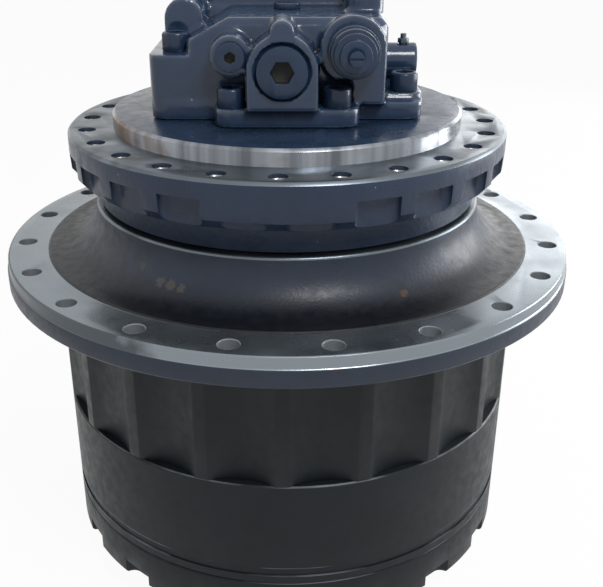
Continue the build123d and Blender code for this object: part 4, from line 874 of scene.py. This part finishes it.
class DRIVE_OT_cap_screws(bpy.types.Operator):
    """Knurled socket-head cap screws on the valve block."""

    bl_idname = "drive.cap_screws"
    bl_label = "Cap screws"

    def execute(self, context):
        sizes = context.scene.drive_sizes
        head = sizes.screw_head_radius
        top = sizes.screw_head_height
        sides = 96
        knurl = 0.25 * MM

        def knurled(angle):
            return head - knurl + knurl * math.cos(sides / 2 * angle)

        socket = hexagon(sizes.screw_socket)
        # Head from its seat up the knurl, over the rounded crown and down into the socket
        rows = [
            (0, head - 0.6 * MM),
            (0.8 * MM, knurled),
            (top - 2.2 * MM, knurled),
            (top - MM, head - 0.6 * MM),
            (top - 0.3 * MM, head - 1.4 * MM),
            (top, head - 2.2 * MM),
            (top, lambda angle: socket(angle) + 0.6 * MM),
            (top - 0.6 * MM, socket),
            (0.45 * top, socket),
        ]
        seats = []
        shank_lengths = []
        for low, high in islands(frame["nodes"]["valve_block_bolts"].data):
            middle = (low + high) / 2
            seats.append((middle.x, middle.y, high.z - top))
            shank_lengths.append((high.z - top - low.z) / MM)
        shank = sizes.screw_shank_radius
        # Shank of 1 mm, which each screw stretches to its own length
        shank_rows = [(-MM, shank - 0.3 * MM), (-0.98 * MM, shank), (0, shank)]
        shanks = repeat_on_points(
            "screw_shanks", seats, new_piece("shank_template", lathe_rows(shank_rows, 24)),
            finish_named("coated_screw_steel"), shank_lengths,
        )
        screws = repeat_on_points(
            "cap_screws", seats, new_piece("screw_template", lathe_rows(rows, sides)),
            finish_named("plug_enamel"),
        )
        join(screws, shanks)
        shade(screws, 40)
        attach(screws, "casing")
        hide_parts("valve_block_bolts")
        return {"FINISHED"}


class DRIVE_OT_frame_threads(bpy.types.Operator):
    """Threads that show in the mouths of the frame flange's tapped holes."""

    bl_idname = "drive.frame_threads"
    bl_label = "Frame hole threads"

    def execute(self, context):
        sizes = context.scene.drive_sizes
        pattern = MOUNTS["frame_bolts"]["dims"]
        hole = pattern["hole_r_mm"] * MM
        crest = hole - 1.0 * MM
        root = hole - 0.15 * MM
        below_face = 2.5 * MM
        half_pitch = sizes.thread_pitch / 2
        steps = 2 * int(sizes.thread_depth / sizes.thread_pitch)
        rows = [
            (-below_face - step * half_pitch, root if step % 2 else crest) for step in range(steps + 1)
        ]
        template = new_piece("thread_template", lathe_rows(rows, 24, capped=False))
        circle = pattern["pcd_mm"] * MM / 2
        start = sizes.frame_hole_turn - math.pi / 2
        places = []
        for number in range(pattern["count"]):
            angle = start + 2 * math.pi * number / pattern["count"]
            places.append((circle * math.cos(angle), circle * math.sin(angle), FRAME_FACE))
        threads = repeat_on_points("frame_threads", places, template, finish_named("ground_steel"))
        shade(threads, 20)
        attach(threads, "casing")
        return {"FINISHED"}


class DRIVE_OT_plugs(bpy.types.Operator):
    """Plugs, relief valves, bleed nipple and cover bolts, with rounded edges."""

    bl_idname = "drive.plugs"
    bl_label = "Plugs and valve caps"

    def execute(self, context):
        rows = (
            ("spool_plugs", "counterbalance_plugs", "casing", "plug_steel", "plug_enamel"),
            ("gallery_plugs", "gallery_socket_plugs", "casing", "plug_steel", "plug_enamel"),
            ("relief_valves", "relief_cartridges", "casing", "plug_steel", "plug_enamel"),
            ("relief_adjusters", "relief_screws", "casing", "plug_steel", "plug_enamel"),
            ("bleed_nipple", "bleed_screw", "casing", "plug_steel", "coated_screw_steel"),
            ("drum_bolts", "cover_bolts", "hub", "screw_steel", "coated_screw_steel"),
            ("cover_plugs", "cover_socket_plugs", "hub", "plug_steel", "coated_screw_steel"),
        )
        socketed = ("spool_plugs", "gallery_plugs")
        sizes = context.scene.drive_sizes
        for node, piece, body, slot, finish in rows:
            made = round_edges(merged_copy(node, piece), sizes.plug_edge)
            if node in socketed:
                # The socket walls get a black finish: painted shade in the deep hollow
                zone = socket_zone(frame["nodes"][node].data, finish, "socket_shade")
                dress(made, body, node, [finish, "socket_shade"], zone)
            else:
                dress(made, body, node, [finish])
        return {"FINISHED"}


class DRIVE_OT_inner_works(bpy.types.Operator):
    """Gears, bearings, motor and brake inside the housings."""

    bl_idname = "drive.inner_works"
    bl_label = "Inner works"

    def execute(self, context):
        finishes = {
            "gear_steel": "ground_steel",
            "carrier_iron": "carrier_iron",
            "bearing_steel": "ground_steel",
            "shaft_steel": "ground_steel",
            "bronze": "bearing_bronze",
            "seal_rubber": "nitrile_rubber",
        }
        for subpart in frame["record"]["subparts"]:
            if subpart["material_slot"] in finishes:
                mesh = frame["nodes"][subpart["node"]].data
                mesh.materials.clear()
                mesh.materials.append(finish_named(finishes[subpart["material_slot"]]))
        return {"FINISHED"}


class DRIVE_OT_stage(bpy.types.Operator):
    """Pale floor, soft studio lights, white surround and the camera."""

    bl_idname = "drive.stage"
    bl_label = "Stage"

    def execute(self, context):
        scene = context.scene
        stage = scene.drive_stage
        scene.view_settings.view_transform = "Standard"
        self.make_floor(scene)
        self.make_surround(scene, stage.sky_strength)
        target = Vector((0, 0, AIM_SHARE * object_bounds()[1].z))
        # Lamps: name, place and size in metres, and watts
        lamps = (
            ("key", (0.5, -1.15, 1.85), 0.5, stage.key_power),
            ("left_side", (-1.7, 0.3, 1.0), 1.2, stage.fill_power),
            ("back", (1.2, 2.0, 0.85), 1.1, stage.back_power),
            ("right_side", (1.7, 0.5, 0.7), 1.0, stage.side_power),
        )
        for name, place, size, power in lamps:
            self.add_light(scene, name, place, target, size, power)
        camera = bpy.data.cameras.new("camera")
        camera.lens = stage.camera_lens
        camera.shift_x = stage.camera_shift
        camera.clip_start = 0.01
        view = bpy.data.objects.new("camera", camera)
        view.location = (0, -stage.camera_back, stage.camera_height)
        view.rotation_euler = (math.pi / 2 - stage.camera_pitch, 0, 0)
        scene.collection.objects.link(view)
        scene.camera = view
        return {"FINISHED"}

    def make_floor(self, scene):
        """Pale floor disc that keeps the object's shadow."""
        shape = bmesh.new()
        bmesh.ops.create_circle(shape, cap_ends=True, radius=FLOOR_RADIUS, segments=64)
        bmesh.ops.recalc_face_normals(shape, faces=shape.faces)
        floor = new_piece("floor", shape)
        material, tree, _ = start_material("studio_floor")
        shader = add_node(
            tree, "ShaderNodeBsdfPrincipled",
            {"Base Color": (*scene.drive_colours.floor, 1), "Roughness": 0.9,
             "Specular IOR Level": 0.1},
        )
        share = add_node(
            tree, "ShaderNodeMath", {0: self.background_rays(tree), 1: FLOOR_GLOW}, operation="MULTIPLY"
        )
        glow = add_node(tree, "ShaderNodeEmission", {"Color": (1, 1, 1, 1), "Strength": 1.0})
        mixed = add_node(
            tree, "ShaderNodeMixShader",
            {0: share.outputs["Value"], 1: shader.outputs["BSDF"], 2: glow.outputs["Emission"]},
        )
        add_node(tree, "ShaderNodeOutputMaterial", {"Surface": mixed.outputs["Shader"]})
        floor.data.materials.append(material)
        floor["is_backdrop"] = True

    def background_rays(self, tree):
        """Output that is 1 for rays that show the background: camera, glossy and transmission."""
        path = add_node(tree, "ShaderNodeLightPath")
        shown = path.outputs["Is Camera Ray"]
        for kind in ("Is Glossy Ray", "Is Transmission Ray"):
            either = add_node(
                tree, "ShaderNodeMath", {0: shown, 1: path.outputs[kind]}, operation="MAXIMUM"
            )
            shown = either.outputs["Value"]
        return shown

    def make_surround(self, scene, strength):
        """White for the camera and reflections, and a softer light on the object."""
        world = bpy.data.worlds.new("white_surround")
        world.use_nodes = True
        tree = world.node_tree
        tree.nodes.clear()
        level = add_node(
            tree, "ShaderNodeMapRange",
            {"Value": self.background_rays(tree), "To Min": strength, "To Max": 1.0},
        )
        light = add_node(
            tree, "ShaderNodeBackground", {"Color": (1, 1, 1, 1), "Strength": level.outputs["Result"]}
        )
        add_node(tree, "ShaderNodeOutputWorld", {"Surface": light.outputs["Background"]})
        scene.world = world

    def add_light(self, scene, name, place, target, size, power):
        """Square soft light that faces the target."""
        lamp = bpy.data.lights.new(name, "AREA")
        lamp.size = size
        lamp.energy = power
        made = bpy.data.objects.new(name, lamp)
        made.location = place
        made.visible_camera = False
        made.rotation_euler = (target - Vector(place)).to_track_quat("-Z", "Y").to_euler()
        scene.collection.objects.link(made)


class DRIVE_PT_looks(bpy.types.Panel):
    """Lists the steps that dress the final drive."""

    bl_idname = "DRIVE_PT_looks"
    bl_label = "Final drive"
    bl_space_type = "VIEW_3D"
    bl_region_type = "UI"
    bl_category = "Final drive"

    def draw(self, context):
        for step in STEPS:
            self.layout.operator(step.bl_idname)


STEPS = (
    DRIVE_OT_valve_block,
    DRIVE_OT_motor_casing,
    DRIVE_OT_sprocket_hub,
    DRIVE_OT_drum,
    DRIVE_OT_cap_screws,
    DRIVE_OT_frame_threads,
    DRIVE_OT_plugs,
    DRIVE_OT_inner_works,
    DRIVE_OT_stage,
)
GROUPS = {"drive_sizes": DriveSizes, "drive_colours": DriveColours, "drive_stage": DriveStage}


def register():
    """Registers the property groups, operators and panel."""
    for name, group in GROUPS.items():
        bpy.utils.register_class(group)
        setattr(bpy.types.Scene, name, bpy.props.PointerProperty(type=group))
    for step in STEPS:
        bpy.utils.register_class(step)
    bpy.utils.register_class(DRIVE_PT_looks)


def unregister():
    """Takes them away again."""
    bpy.utils.unregister_class(DRIVE_PT_looks)
    for step in reversed(STEPS):
        bpy.utils.unregister_class(step)
    for name, group in reversed(GROUPS.items()):
        delattr(bpy.types.Scene, name)
        bpy.utils.unregister_class(group)


def main():
    """Dresses the final drive."""
    register()
    for step in STEPS:
        group, name = step.bl_idname.split(".")
        getattr(getattr(bpy.ops, group), name)()


if __name__ == "__main__":
    main()
